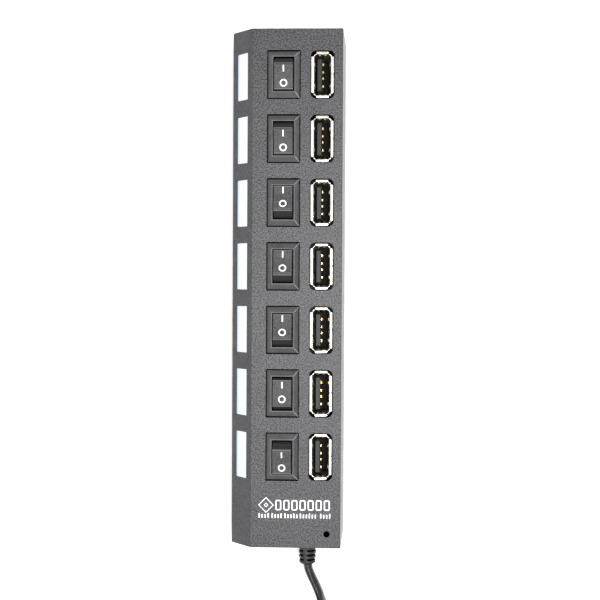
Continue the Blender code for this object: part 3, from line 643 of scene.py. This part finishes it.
def skin(node, name, look, slot, rounding, body="hub", segments=2, sharp=40, outline=None):
    """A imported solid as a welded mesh, with its sharp edges rounded and its curves shaded smooth.

    Where outline is given, edges whose middle it accepts are rounded three times as much.
    """
    data = bmesh.new()
    data.from_mesh(frame["nodes"][node].data)
    bmesh.ops.remove_doubles(data, verts=data.verts, dist=0.001 * MM)
    flat = math.radians(0.4)
    bmesh.ops.dissolve_limit(data, angle_limit=flat, verts=data.verts, edges=data.edges)

    def sharp_edges():
        return [edge for edge in data.edges if edge.calc_face_angle(0.0) > math.radians(sharp)]

    if outline:
        wide = [e for e in sharp_edges() if outline((e.verts[0].co + e.verts[1].co) / 2)]
        round_edges(data, wide, 3 * rounding, segments)
    if rounding:
        round_edges(data, sharp_edges(), rounding, segments)
    made = piece(name, data, look, slot, body, smooth=46)
    even_shading(made)
    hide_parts(node)
    return made


def repeat(first, name, places, nodes=None):
    """Gives each place a piece that shares the first one's mesh."""
    for number, place in zip(PORTS, places):
        copy = first if number == 1 else placed("copy", first.data, first["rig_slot"])
        copy.name = f"{name}_{number}"
        copy.matrix_world = Matrix.Translation(place)
        if nodes:
            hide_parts(f"{nodes}_{number}")


def add_loft(data, loops, closed=False):
    """A closed solid through loops of the same number of points, with flat ends or joined to a ring."""
    rings = [[data.verts.new(point) for point in loop] for loop in loops]
    count = len(rings[0])
    pairs = list(zip(rings, rings[1:]))
    if closed:
        pairs.append((rings[-1], rings[0]))
    for low, high in pairs:
        for i in range(count):
            j = (i + 1) % count
            data.faces.new((low[i], low[j], high[j], high[i]))
    if not closed:
        data.faces.new(rings[0][::-1])
        data.faces.new(rings[-1])


def rectangle(width, length, middle=(0.0, 0.0)):
    x, y = middle
    half_w, half_l = width / 2, length / 2
    return [
        (x - half_w, y - half_l),
        (x + half_w, y - half_l),
        (x + half_w, y + half_l),
        (x - half_w, y + half_l),
    ]


def rounded_rectangle(width, length, radius, middle=(0.0, 0.0), steps=4):
    points = []
    centres = rectangle(width - 2 * radius, length - 2 * radius, middle)
    for (cx, cy), turn in zip(centres, (180, 270, 0, 90)):
        for i in range(steps + 1):
            angle = math.radians(turn + 90 * i / steps)
            points.append((cx + radius * math.cos(angle), cy + radius * math.sin(angle)))
    return points


def circle(radius, middle=(0.0, 0.0), steps=32):
    turns = [2 * math.pi * i / steps for i in range(steps)]
    return [(middle[0] + radius * math.cos(a), middle[1] + radius * math.sin(a)) for a in turns]


def at_height(outline, z):
    return [(x, y, z) for x, y in outline]


def directions(path, closed):
    """The way a path runs at each of its points."""
    count = len(path)
    ways = []
    for i, point in enumerate(path):
        before = path[i - 1] if closed or i else point
        after = path[(i + 1) % count] if closed or i < count - 1 else point
        ways.append((after - before).normalized())
    return ways


def band(data, path, across, width, thickness, closed=False):
    """A strip of sheet along a path, with a rectangular section and flat ends or joined to a ring."""
    path = [Vector(point) for point in path]
    across = Vector(across)
    side = across * width / 2
    loops = []
    for point, along in zip(path, directions(path, closed)):
        out = across.cross(along).normalized() * thickness / 2
        loops.append([point + side + out, point - side + out, point - side - out, point + side - out])
    add_loft(data, loops, closed)


def ink_line(data, path, width, surface, closed=False):
    """A painted line along a flat path: a thin solid that stands just out of the surface."""
    proud, sunk = 0.02 * MM, 0.05 * MM
    path = [Vector(point) for point in path]
    loops = []
    for point, along in zip(path, directions(path, closed)):
        side = Vector((-along.y, along.x)) * width / 2
        edges = (point + side, point - side)
        loop = [(p.x, p.y, surface(p) + proud) for p in edges]
        loop += [(p.x, p.y, surface(p) - sunk) for p in reversed(edges)]
        loops.append(loop)
    add_loft(data, loops, closed)


def smooth_route(points, steps):
    """Points on a Catmull-Rom curve, this many for each of the points it goes through."""
    points = [Vector(p) for p in points]
    points = [2 * points[0] - points[1], *points, 2 * points[-1] - points[-2]]
    made = []
    for a, b, c, d in zip(points, points[1:], points[2:], points[3:]):
        for i in range(steps):
            t = i / steps
            even = 2 * b + (c - a) * t + (2 * a - 5 * b + 4 * c - d) * t**2
            made.append(0.5 * (even + (3 * b - a - 3 * c + d) * t**3))
    made.append(points[-2])
    return made


# ---------------------------------------------------------------- cable and what is on it


def coil_point(turn):
    """Where the cable is after this many turns of the coil."""
    radius, height = COIL_RADIUS, COIL_Z
    for start, end, inward, upward in COIL_SHIFTS:
        share = min(max((turn - start) / (end - start), 0.0), 1.0)
        share = share * share * (3 - 2 * share)
        radius -= 2 * CABLE_RADIUS * inward * share
        height += 2 * CABLE_RADIUS * upward * share
    angle = COIL_START - 2 * math.pi * turn
    x, y = COIL_MIDDLE
    return Vector((x + radius * math.cos(angle), y + radius * math.sin(angle), height))


def cable_route():
    steps = round(COIL_TURNS * 24)
    points = [Vector(p) * MM for p in LEAD_ROUTE]
    points += [coil_point(COIL_TURNS * i / steps) for i in range(steps + 1)]
    points += [Vector(p) * MM for p in TAIL_ROUTE]
    return smooth_route(points, 5)


def cable(look):
    points = cable_route()
    curve = bpy.data.curves.new("cable", "CURVE")
    curve.dimensions = "3D"
    curve.bevel_depth = CABLE_RADIUS
    curve.bevel_resolution = 6
    curve.use_fill_caps = True
    spline = curve.splines.new("POLY")
    spline.points.add(len(points) - 1)
    for knot, point in zip(spline.points, points):
        knot.co = (*point, 1.0)
    spline.use_smooth = True
    curve.materials.append(look)
    made = bpy.data.objects.new("cable", curve)
    bpy.context.scene.collection.objects.link(made)
    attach(made, "hub")
    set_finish(made, "cable_jacket")
    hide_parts("cable_lead", "cable_coil", "cable_tail")
    return made


def strain_relief(look):
    """Neck through the wall, and outside it a taper whose ribs leave a spine above and below.

    Radii, lengths and Y are in millimetres here, and each section is its radii all round and its Y.
    """
    neck = ((3.4, -76.4), (3.4, -78.1), (2.2, -78.1), (2.2, -82.4))
    rib_radius, taper, core = 2.92, 0.09, 2.05
    rib_lengths, slot = (2.55, 0.9, 0.9, 0.95), 0.6
    spine, spine_edge, roll = math.radians(13), math.radians(7), math.radians(15)
    steps = 48
    angles = [2 * math.pi * i / steps for i in range(steps)]
    sections = [([r] * steps, y) for r, y in neck]

    def ribbed(at_spine, beside, y):
        radii = []
        for angle in angles:
            from_spine = abs(math.remainder(angle - math.pi / 2 - roll, math.pi))
            share = min(max((from_spine - spine) / spine_edge, 0.0), 1.0)
            radii.append(at_spine + (beside - at_spine) * share)
        return radii, y

    y = neck[-1][1]
    rounding = ((0.16, 0.0), (0.03, 0.12), (0.0, 0.3), (0.0, 0.7), (0.03, 0.88), (0.16, 1.0))
    for rib, length in enumerate(rib_lengths):
        outer = rib_radius - taper * rib
        for inset, part in rounding:
            sections.append(ribbed(outer - inset * 0.3, outer - inset, y - part * length))
        y -= length
        if rib < len(rib_lengths) - 1:
            for step in (0.0, slot):
                sections.append(ribbed(outer - 0.05, core, y - step))
            y -= slot
    for drop, r in ((0.1, outer - 0.35), (0.25, 2.15), (0.4, 1.9), (0.5, 1.62)):
        sections.append(([r] * steps, y - drop))
    loops = []
    for radii, y in sections:
        loop = []
        for r, angle in zip(radii, angles):
            x, z = RELIEF_X + r * MM * math.cos(angle), RELIEF_Z + r * MM * math.sin(angle)
            loop.append((x, y * MM, z))
        loops.append(loop)
    data = bmesh.new()
    add_loft(data, loops)
    made = piece("strain_relief_moulding", data, look, "cable_jacket", smooth=50)
    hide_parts("strain_relief")
    return made


def cable_tie(look):
    """A flat tie round the coil's turns, its two ends twisted together on top."""
    angle = math.radians(200)
    width, thickness, clearance = 2.6 * MM, 0.24 * MM, 0.13 * MM
    inner, outer = COIL_RADIUS - 5 * CABLE_RADIUS, COIL_RADIUS + 1.6 * CABLE_RADIUS
    middle = ((inner + outer) / 2, COIL_Z + 2 * CABLE_RADIUS)
    size = (outer - inner, 2 * (middle[1] - clearance))
    outline = rounded_rectangle(*size, 1.5 * MM, middle, steps=8)
    radial = Vector((math.cos(angle), math.sin(angle), 0.0))
    across = Vector((-math.sin(angle), math.cos(angle), 0.0))
    up = Vector((0.0, 0.0, 1.0))
    centre = Vector((*COIL_MIDDLE, 0.0))
    data = bmesh.new()
    points = [centre + radial * r + up * z for r, z in outline]
    band(data, points, across, width, thickness, closed=True)
    top = centre + radial * middle[0] + up * (middle[1] + size[1] / 2)
    twists, steps, end_width, end_thickness = 2, 24, 0.9 * MM, 0.45 * MM
    for start in (0.0, math.pi):
        path = []
        for i in range(steps + 1):
            turn = start + i / steps * twists * 2 * math.pi
            spread = 0.55 * MM * math.sin(min(i / 6, 1.0) * math.pi / 2)
            sideways = across * (0.2 + 0.42 * i) * MM + radial * spread * math.cos(turn)
            path.append(top + sideways + up * (0.75 * MM + spread * math.sin(turn)))
        band(data, path, radial, end_width, end_thickness)
    return piece("cable_tie", data, look, "cable_jacket")


def plug(vinyl, metal, black, gold):
    """Overmould with ribs to hold it by, metal shell, tongue, and its four flat contacts."""
    rounding = 0.35 * MM
    overmould = skin("plug_overmould", "plug_grip", vinyl, "cable_jacket", rounding, segments=3, sharp=30)
    low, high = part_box("plug_overmould")
    middle_y = (low.y + high.y) / 2
    data = bmesh.new()
    for side in (-1, 1):
        for rib in range(6):
            x = low.x + (8.6 + rib * 1.5) * MM
            y = middle_y + side * (high.y - low.y) / 2
            outline = rounded_rectangle(0.8 * MM, 0.7 * MM, 0.3 * MM, (x, y))
            add_loft(data, [at_height(outline, z) for z in (low.z + 2.2 * MM, high.z - 2.2 * MM)])
    ribs = piece("plug_grip_ribs", data, vinyl, "cable_jacket")
    shell = skin("plug_shell", "plug_metal_shell", metal, "nickel", 0.08 * MM)
    tongue = skin("plug_insulator", "plug_tongue", black, "insulator_plastic", 0.1 * MM)
    low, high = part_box("plug_insulator")
    data = bmesh.new()
    for y, short in ((-3.5, 0.0), (-1.0, 1.0), (1.0, 1.0), (3.5, 0.0)):
        start, end = low.x + 6 * MM, high.x - (0.6 + short) * MM
        middle = ((start + end) / 2, middle_y + y * MM)
        outline = rounded_rectangle(end - start, 1.0 * MM, 0.25 * MM, middle)
        add_loft(data, [at_height(outline, high.z + z * MM) for z in (-0.1, 0.12)])
    contacts = piece("plug_contacts", data, gold, "nickel")
    return [overmould, ribs, shell, tongue, contacts]


# ---------------------------------------------------------------- case and windows


def on_front_outline(point):
    """Whether a point is on the front's right, far or near edge, past all its openings."""
    past_openings = point.x > OPENINGS_X[1] or abs(point.y) > OPENINGS_END_Y
    return past_openings and point.z > FRONT_Z - 0.1 * MM


def chamfer_point(up, out, y):
    """A point near a window: up the chamfer from its middle, out of its face, and along the case."""
    slope = math.sqrt(0.5)
    x, z = WINDOW_X, CHAMFER_FOOT[1] + WINDOW_X - CHAMFER_FOOT[0]
    return (x + (up - out) * slope, y, z + (up + out) * slope)


def windows(look):
    """A frosted lens in each window, on the bar that carries their light."""
    width, length, radius = WINDOW
    play = 0.05 * MM
    bar_width, bar_front, bar_back = 6.4 * MM, -2.3 * MM, -3.4 * MM
    levels = (
        (0.0, bar_front),
        (0.0, -WINDOW_SET_BACK - 0.12 * MM),
        (0.04 * MM, -WINDOW_SET_BACK - 0.04 * MM),
        (0.13 * MM, -WINDOW_SET_BACK),
    )
    for number, (_, y) in zip(PORTS, SOCKETS):
        loops = []
        for inset, out in levels:
            w, l = width - 2 * (play + inset), length - 2 * (play + inset)
            outline = rounded_rectangle(w, l, radius, (0.0, y))
            loops.append([chamfer_point(up, out, along) for up, along in outline])
        data = bmesh.new()
        add_loft(data, loops)
        lens = piece(f"window_lens_{number}", data, look, "light_plastic", smooth=50)
        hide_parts("light_guide")
    low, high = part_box("light_guide")
    outline = rounded_rectangle(bar_width, high.y - low.y, 0.4 * MM, (0.0, (low.y + high.y) / 2))
    loops = [[chamfer_point(up, out, along) for up, along in outline] for out in (bar_back, bar_front)]
    data = bmesh.new()
    add_loft(data, loops)
    bar = piece("light_guide_bar", data, look, "light_plastic", smooth=50)
    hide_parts("light_guide")


def front_surface(_):
    return FRONT_Z


def front_print(look):
    """A plain diamond, a row of seven small port signs, and under them groups of short strokes."""
    signs_y, strokes_y = -68.1 * MM, -71.6 * MM
    diamond_x, diamonds = -6.1 * MM, ((2.3 * MM, 0.34 * MM), (0.6 * MM, 0.3 * MM))
    first_sign_x, sign_pitch, sign_line = -2.2 * MM, 2.55 * MM, 0.4 * MM
    stroke_pitch, stroke_line, drop = 0.94 * MM, 0.42 * MM, 0.6 * MM
    data = bmesh.new()
    for size, width in diamonds:
        corners = ((-size, 0.0), (0.0, -size), (size, 0.0), (0.0, size))
        diamond = [(diamond_x + x, signs_y + y) for x, y in corners]
        ink_line(data, diamond, width, front_surface, closed=True)
    for port in PORTS:
        middle = (first_sign_x + (port - 1) * sign_pitch, signs_y)
        sign = rounded_rectangle(1.5 * MM, 2.9 * MM, 0.35 * MM, middle, steps=3)
        ink_line(data, sign, sign_line, front_surface, closed=True)
    for start, count in ((-8.2, 4), (-4.1, 4), (-0.1, 5), (4.8, 6), (11.2, 4)):
        for stroke in range(count):
            x = start * MM + stroke * stroke_pitch
            rise = (0.6 if stroke % 3 else 0.9) * MM
            ink_line(data, [(x, strokes_y - drop), (x, strokes_y + rise)], stroke_line, front_surface)
    piece("front_print", data, look, "light_plastic")


# ---------------------------------------------------------------- sockets


def shell_outline():
    """Mid-line of a socket's sheet: its points, and what the mouth has after each one."""
    width, length, radius = SHELL
    steps = 5
    points, kinds = [], []
    arcs = rounded_rectangle(width, length, radius, steps=steps)
    for side in range(4):
        points += arcs[side * (steps + 1) : (side + 1) * (steps + 1)]
        kinds += ["corner"] * steps + ["lip"]
        if side == 1:
            points += [(width / 2, SEAM_Y - SEAM / 2), (width / 2, SEAM_Y + SEAM / 2)]
            kinds += ["seam", "lip"]
    return points, kinds


def lip_profile():
    """Offsets out of the wall and up from the start of the bend."""
    profile = []
    for i in range(1, 7):
        angle = LIP_ANGLE * i / 6
        profile.append((LIP_BEND * (1 - math.cos(angle)), LIP_BEND * math.sin(angle)))
    out, up = profile[-1]
    profile.append((out + LIP_FLAT * math.sin(LIP_ANGLE), up + LIP_FLAT * math.cos(LIP_ANGLE)))
    return profile


def socket_shells(look):
    """Folded tube with a lip bent out on each side, and a seam down the middle of the right one."""
    crown_height, lip_taper = 0.12 * MM, 0.12 * MM
    profile = lip_profile()
    bend_z = MOUTH_Z - SHEET / 2 - profile[-1][1]
    points, kinds = shell_outline()
    data = bmesh.new()
    levels = (SOCKET_FLOOR_Z, bend_z)
    low, high = [[data.verts.new((x, y, z)) for x, y in points] for z in levels]
    crown = [data.verts.new((x, y, bend_z + crown_height)) for x, y in points]
    count = len(points)
    for i, kind in enumerate(kinds):
        j = (i + 1) % count
        if kind == "seam":
            continue
        data.faces.new((low[i], low[j], high[j], high[i]))
        if kind == "corner":
            data.faces.new((high[i], high[j], crown[j], crown[i]))
            continue
        here, there = Vector(points[i]), Vector(points[j])
        along = (there - here).normalized()
        outward = Vector((along.y, -along.x))
        row = (high[i], high[j])
        for step, (out, up) in enumerate(profile):
            trim = along * (lip_taper if step == len(profile) - 1 else 0.0)
            ends = (here + outward * out + trim, there + outward * out - trim)
            new = [data.verts.new((p.x, p.y, bend_z + up)) for p in ends]
            data.faces.new((row[0], row[1], new[1], new[0]))
            row = new
    loose = [vert for vert in data.verts if not vert.link_faces]
    bmesh.ops.delete(data, geom=loose, context="VERTS")
    first = piece("socket_shell", data, look, "nickel", smooth=60)
    sheet = first.modifiers.new("sheet", "SOLIDIFY")
    sheet.thickness = SHEET
    sheet.offset = 0.0
    sheet.use_even_offset = True
    even_shading(first)
    settle(first)
    repeat(first, "socket_shell", SOCKET_PLACES, "usb_shell")


def socket_springs(look):
    """Springs that press on a plug: two in each long wall, two small ones in each short wall.

    Each bulges in from its wall, by so many millimetres at so many below the mouth.
    """
    bulge = (
        (-0.02, -0.6),
        (0.12, -0.8),
        (0.32, -1.15),
        (0.38, -1.6),
        (0.3, -2.3),
        (0.14, -3.4),
        (-0.02, -4.4),
    )
    inside = [side / 2 - SHEET / 2 for side in SHELL[:2]]
    data = bmesh.new()
    for side in (-1, 1):
        for y in (-3.3 * MM, 3.3 * MM):
            path = [(side * (inside[0] - d * MM), y, MOUTH_Z + z * MM) for d, z in bulge]
            band(data, path, (0.0, 1.0, 0.0), 1.0 * MM, 0.2 * MM)
        for x in (-0.83 * MM, 0.83 * MM):
            path = [(x, side * (inside[1] - d * MM), MOUTH_Z + z * MM) for d, z in bulge]
            band(data, path, (1.0, 0.0, 0.0), 0.7 * MM, 0.2 * MM)
    repeat(piece("socket_springs", data, look, "nickel", smooth=60), "socket_springs", SOCKET_PLACES)


def socket_tongues(look):
    """Base block and tongue, whose tip is narrower and bevelled towards the contacts."""
    block = rectangle(4.5 * MM, 11.9 * MM)
    tongue = rectangle(1.94 * MM, 11.1 * MM, (-0.63 * MM, 0.0))
    tip = rectangle(1.26 * MM, 9.7 * MM, (-0.93 * MM, 0.0))
    below_tip = rectangle(1.34 * MM, 9.9 * MM, (-0.93 * MM, 0.0))
    data = bmesh.new()
    foot_z = 12.4 * MM
    levels = (
        (block, SOCKET_FLOOR_Z),
        (block, foot_z),
        (tongue, foot_z),
        (tongue, TONGUE_TIP_Z - 0.9 * MM),
        (below_tip, TONGUE_TIP_Z - 0.06 * MM),
        (tip, TONGUE_TIP_Z),
    )
    add_loft(data, [at_height(outline, z) for outline, z in levels])
    first = piece("socket_tongue", data, look, "insulator_plastic", smooth=20)
    repeat(first, "socket_tongue", SOCKET_PLACES, "usb_insulator")


def socket_contacts(look):
    """Four gilt springs along each tongue's right face, bowed out, their tips tucked over its edge.

    The bow is X from the socket's middle and Z from the tongue's tip, in millimetres.
    """
    bow = (
        (0.44, -9.2),
        (0.44, -5.0),
        (0.62, -4.0),
        (0.8, -3.1),
        (0.72, -2.2),
        (0.54, -1.2),
        (0.4, -0.7),
        (0.16, -0.56),
        (0.04, -0.56),
    )
    data = bmesh.new()
    for y in CONTACT_Y:
        path = [(x * MM, y, TONGUE_TIP_Z + z * MM) for x, z in bow]
        band(data, path, (0.0, 1.0, 0.0), 0.7 * MM, 0.16 * MM)
    repeat(piece("socket_contacts", data, look, "nickel", smooth=60), "socket_contacts", SOCKET_PLACES)


# ---------------------------------------------------------------- switches


def face_height(point):
    """Height of a rocker's dished face over its pivot."""
    half_face, edge_z = FACE_EDGE
    rise = math.sqrt(DISH_RADIUS**2 - half_face**2)
    return edge_z + rise - math.sqrt(DISH_RADIUS**2 - point.y**2)


def rest_tilt(number):
    """A rocker's angle in the frame: its joint's range is equal to both sides of level."""
    joint = [j for j in frame["joints"] if j["child"] == f"switch_{number}"][0]
    return -math.radians(sum(joint["range_deg"]) / 2)


def switch_marks(look):
    """A bar at the far end of each rocker and a ring at the near end, printed on its face."""
    bar_start, bar_length, bar_line, bar_steps = 1.5 * MM, 2.0 * MM, 0.42 * MM, 8
    ring_radius, ring_y, ring_line = 0.96 * MM, -1.9 * MM, 0.4 * MM
    data = bmesh.new()
    bar = [(0.0, bar_start + bar_length * i / bar_steps) for i in range(bar_steps + 1)]
    ink_line(data, bar, bar_line, face_height)
    ink_line(data, circle(ring_radius, (0.0, ring_y), 40), ring_line, face_height, closed=True)
    first = piece("switch_mark", data, look, "light_plastic", smooth=60)
    mesh = first.data
    bpy.data.objects.remove(first)
    for number, (x, y) in zip(PORTS, SWITCHES):
        where = Matrix.Translation((x, y, PIVOT_HEIGHT)) @ Matrix.Rotation(rest_tilt(number), 4, "X")
        placed(f"switch_mark_{number}", mesh, "light_plastic", f"switch_{number}", where)


def switches(body_look, rocker_look):
    """The housings with their edges rounded, and the rockers, whose CAD edges are already rounded."""
    slot = "switch_plastic"
    for number in PORTS:
        skin(f"switch_housing_{number}", f"switch_bezel_{number}", body_look, slot, 0.1 * MM, sharp=25)
        skin(f"rocker_{number}", f"rocker_cap_{number}", rocker_look, slot, 0.0, f"switch_{number}")


def mitre_highlight_ridges(look):
    """The fine ridge that the mould leaves along the two right mitres of a bezel, with a painted
    highlight on it.
    """
    solid = frame["nodes"]["switch_housing_1"].data
    middle = Vector((*SWITCHES[0], 0.0))
    corners = [vertex.co - middle for vertex in solid.vertices if vertex.co.z > FRONT_Z - 0.4 * MM]
    right_top = [corner for corner in corners if corner.x > 0.0 and corner.y > 0.0]
    near_top = max(corner.z for corner in right_top) - 0.01 * MM
    outer = max(right_top, key=lambda corner: corner.x + corner.y)
    rim = max((c for c in right_top if c.z > near_top), key=lambda corner: corner.x + corner.y)
    radius = 0.15 * MM
    rise = Vector((0.0, 0.0, radius))
    turns = [math.pi * i / 4 for i in range(8)]
    data = bmesh.new()
    for up in (1, -1):
        ends = [Vector((end.x, up * end.y, end.z)) for end in (outer, rim)]
        side = (ends[1] - ends[0]).cross(rise).normalized() * radius
        add_loft(data, [[end + side * math.cos(t) + rise * math.sin(t) for t in turns] for end in ends])
    first = piece("mitre_highlight_ridges", data, look, "switch_plastic")
    repeat(first, "mitre_highlight_ridges", [(x, y, 0.0) for x, y in SWITCHES])


def switch_terminals(look):
    """Two flat blades under each switch, down towards the board."""
    top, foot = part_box("switch_housing_1")[0].z + 0.3 * MM, BOARD_TOP_Z + 0.3 * MM
    shoulder, across, thickness = foot + 0.4 * MM, (1.0, 0.0, 0.0), 0.5 * MM
    data = bmesh.new()
    for y in (-3.6 * MM, 0.0):
        path = [(0.0, y, z) for z in (top, foot + 1.0 * MM, shoulder)]
        band(data, path, across, 2.0 * MM, thickness)
        band(data, [(0.0, y, shoulder), (0.0, y, foot)], across, 1.0 * MM, thickness)
    first = piece("switch_terminals", data, look, "nickel")
    repeat(first, "switch_terminals", [(x, y, 0.0) for x, y in SWITCHES])


# ---------------------------------------------------------------- on the board


def chip_legs(look):
    """Gull-wing legs along the two long sides of each hub chip."""
    legs, pitch = 14, 0.635 * MM
    steps = ((-0.2, 0.8), (0.3, 0.8), (0.45, 0.72), (0.6, 0.05), (0.75, -0.02), (1.2, -0.02))
    for number in (1, 2):
        low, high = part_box(f"hub_chip_{number}")
        middle = (low + high) / 2
        data = bmesh.new()
        for side in (-1, 1):
            edge = middle.x + side * (high.x - low.x) / 2
            for leg in range(legs):
                y = middle.y + (leg - (legs - 1) / 2) * pitch
                path = [(edge + side * out * MM, y, low.z + up * MM) for out, up in steps]
                band(data, path, (0.0, 1.0, 0.0), 0.3 * MM, 0.15 * MM)
        piece(f"hub_chip_legs_{number}", data, look, "nickel")


def capacitor_top(look):
    """The can's bare end, scored with a cross inside the sleeve's rolled edge."""
    low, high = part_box("capacitor")
    x, y = ((low + high) / 2)[:2]
    data = bmesh.new()
    rings = ((2.3, -0.2), (2.3, 0.06), (2.1, 0.14), (0.2, 0.1))
    add_loft(data, [at_height(circle(r * MM, (x, y)), high.z + z * MM) for r, z in rings])
    for across in ((1.0, 0.0, 0.0), (0.0, 1.0, 0.0)):
        along = Vector((across[1], across[0], 0.0)) * 1.7 * MM
        middle = Vector((x, y, high.z + 0.13 * MM))
        band(data, [middle - along, middle + along], across, 0.25 * MM, 0.08 * MM)
    piece("capacitor_top", data, look, "nickel")


def jack_contacts(look):
    """The power socket's centre pin sleeve and the spring on the side of its bore."""
    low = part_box("dc_jack")[0]
    x, z = JACK_AXIS
    data = bmesh.new()
    rings = ((1.0, 0.9), (1.06, 1.6), (1.06, 9.5), (0.4, 9.5))
    add_loft(data, [[(x + a, low.y + y * MM, z + b) for a, b in circle(r * MM)] for r, y in rings])
    piece("jack_pin_sleeve", data, look, "nickel")
    data = bmesh.new()
    bow = ((3.2, 3.2), (2.7, 4.6), (2.4, 6.2), (2.9, 8.0), (3.3, 9.4))
    path = [(x + dx * MM, low.y + y * MM, z) for dx, y in bow]
    band(data, path, (0.0, 0.0, 1.0), 1.8 * MM, 0.25 * MM)
    piece("jack_spring", data, look, "nickel", smooth=60)


# ---------------------------------------------------------------- making

SOCKETS = [((low + high) / 2)[:2] for low, high in (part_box(f"usb_shell_{n}") for n in PORTS)]
SWITCHES = [((low + high) / 2)[:2] for low, high in (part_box(f"switch_housing_{n}") for n in PORTS)]
SOCKET_PLACES = [(x, y, 0.0) for x, y in SOCKETS]

look_down()
vinyl = cable_vinyl()
soft_vinyl = relief_vinyl()
metal = nickel()
gold = gilt()
black = insulator_plastic()
lead = cable(vinyl)
relief = strain_relief(soft_vinyl)
tie = cable_tie(soft_vinyl)
plug_pieces = plug(soft_vinyl, metal, black, gold)

case_look = eroded_plastic()
skin("top_cover", "front_case", case_look, "case_plastic", 0.08 * MM, outline=on_front_outline)
skin("bottom_cover", "back_case", case_look, "case_plastic", 0.15 * MM)
windows(lit_window())
ink = white_ink()
front_print(ink)
socket_shells(metal)
socket_springs(metal)
socket_tongues(black)
socket_contacts(gold)
switch_look = switch_plastic()
switches(switch_look, rocker_plastic())
mitre_highlight_ridges(highlight_nylon())
switch_marks(ink)
switch_terminals(metal)
chip_legs(metal)
capacitor_top(dull_aluminium())
jack_contacts(metal)

board_look = board_mask()
lamp_look = lamp_resin()
chip_look = chip_resin()
steel = screw_steel()
rubber = foot_rubber()
for number in range(1, 5):
    skin(f"case_screw_{number}", f"case_screw_turned_{number}", steel, "screw_steel", 0.05 * MM)
    skin(f"rubber_foot_{number}", f"rubber_foot_moulded_{number}", rubber, "foot_rubber", 0.1 * MM)
for node, look in (
    ("main_pcb", board_look),
    ("power_led", lamp_look),
    ("hub_chip_1", chip_look),
    ("hub_chip_2", chip_look),
    ("crystal", metal),
    ("capacitor", sleeve_film()),
    ("dc_jack", black),
    *((f"port_led_{n}", lamp_look) for n in PORTS),
):
    frame["nodes"][node].data.materials.clear()
    frame["nodes"][node].data.materials.append(look)

studio()
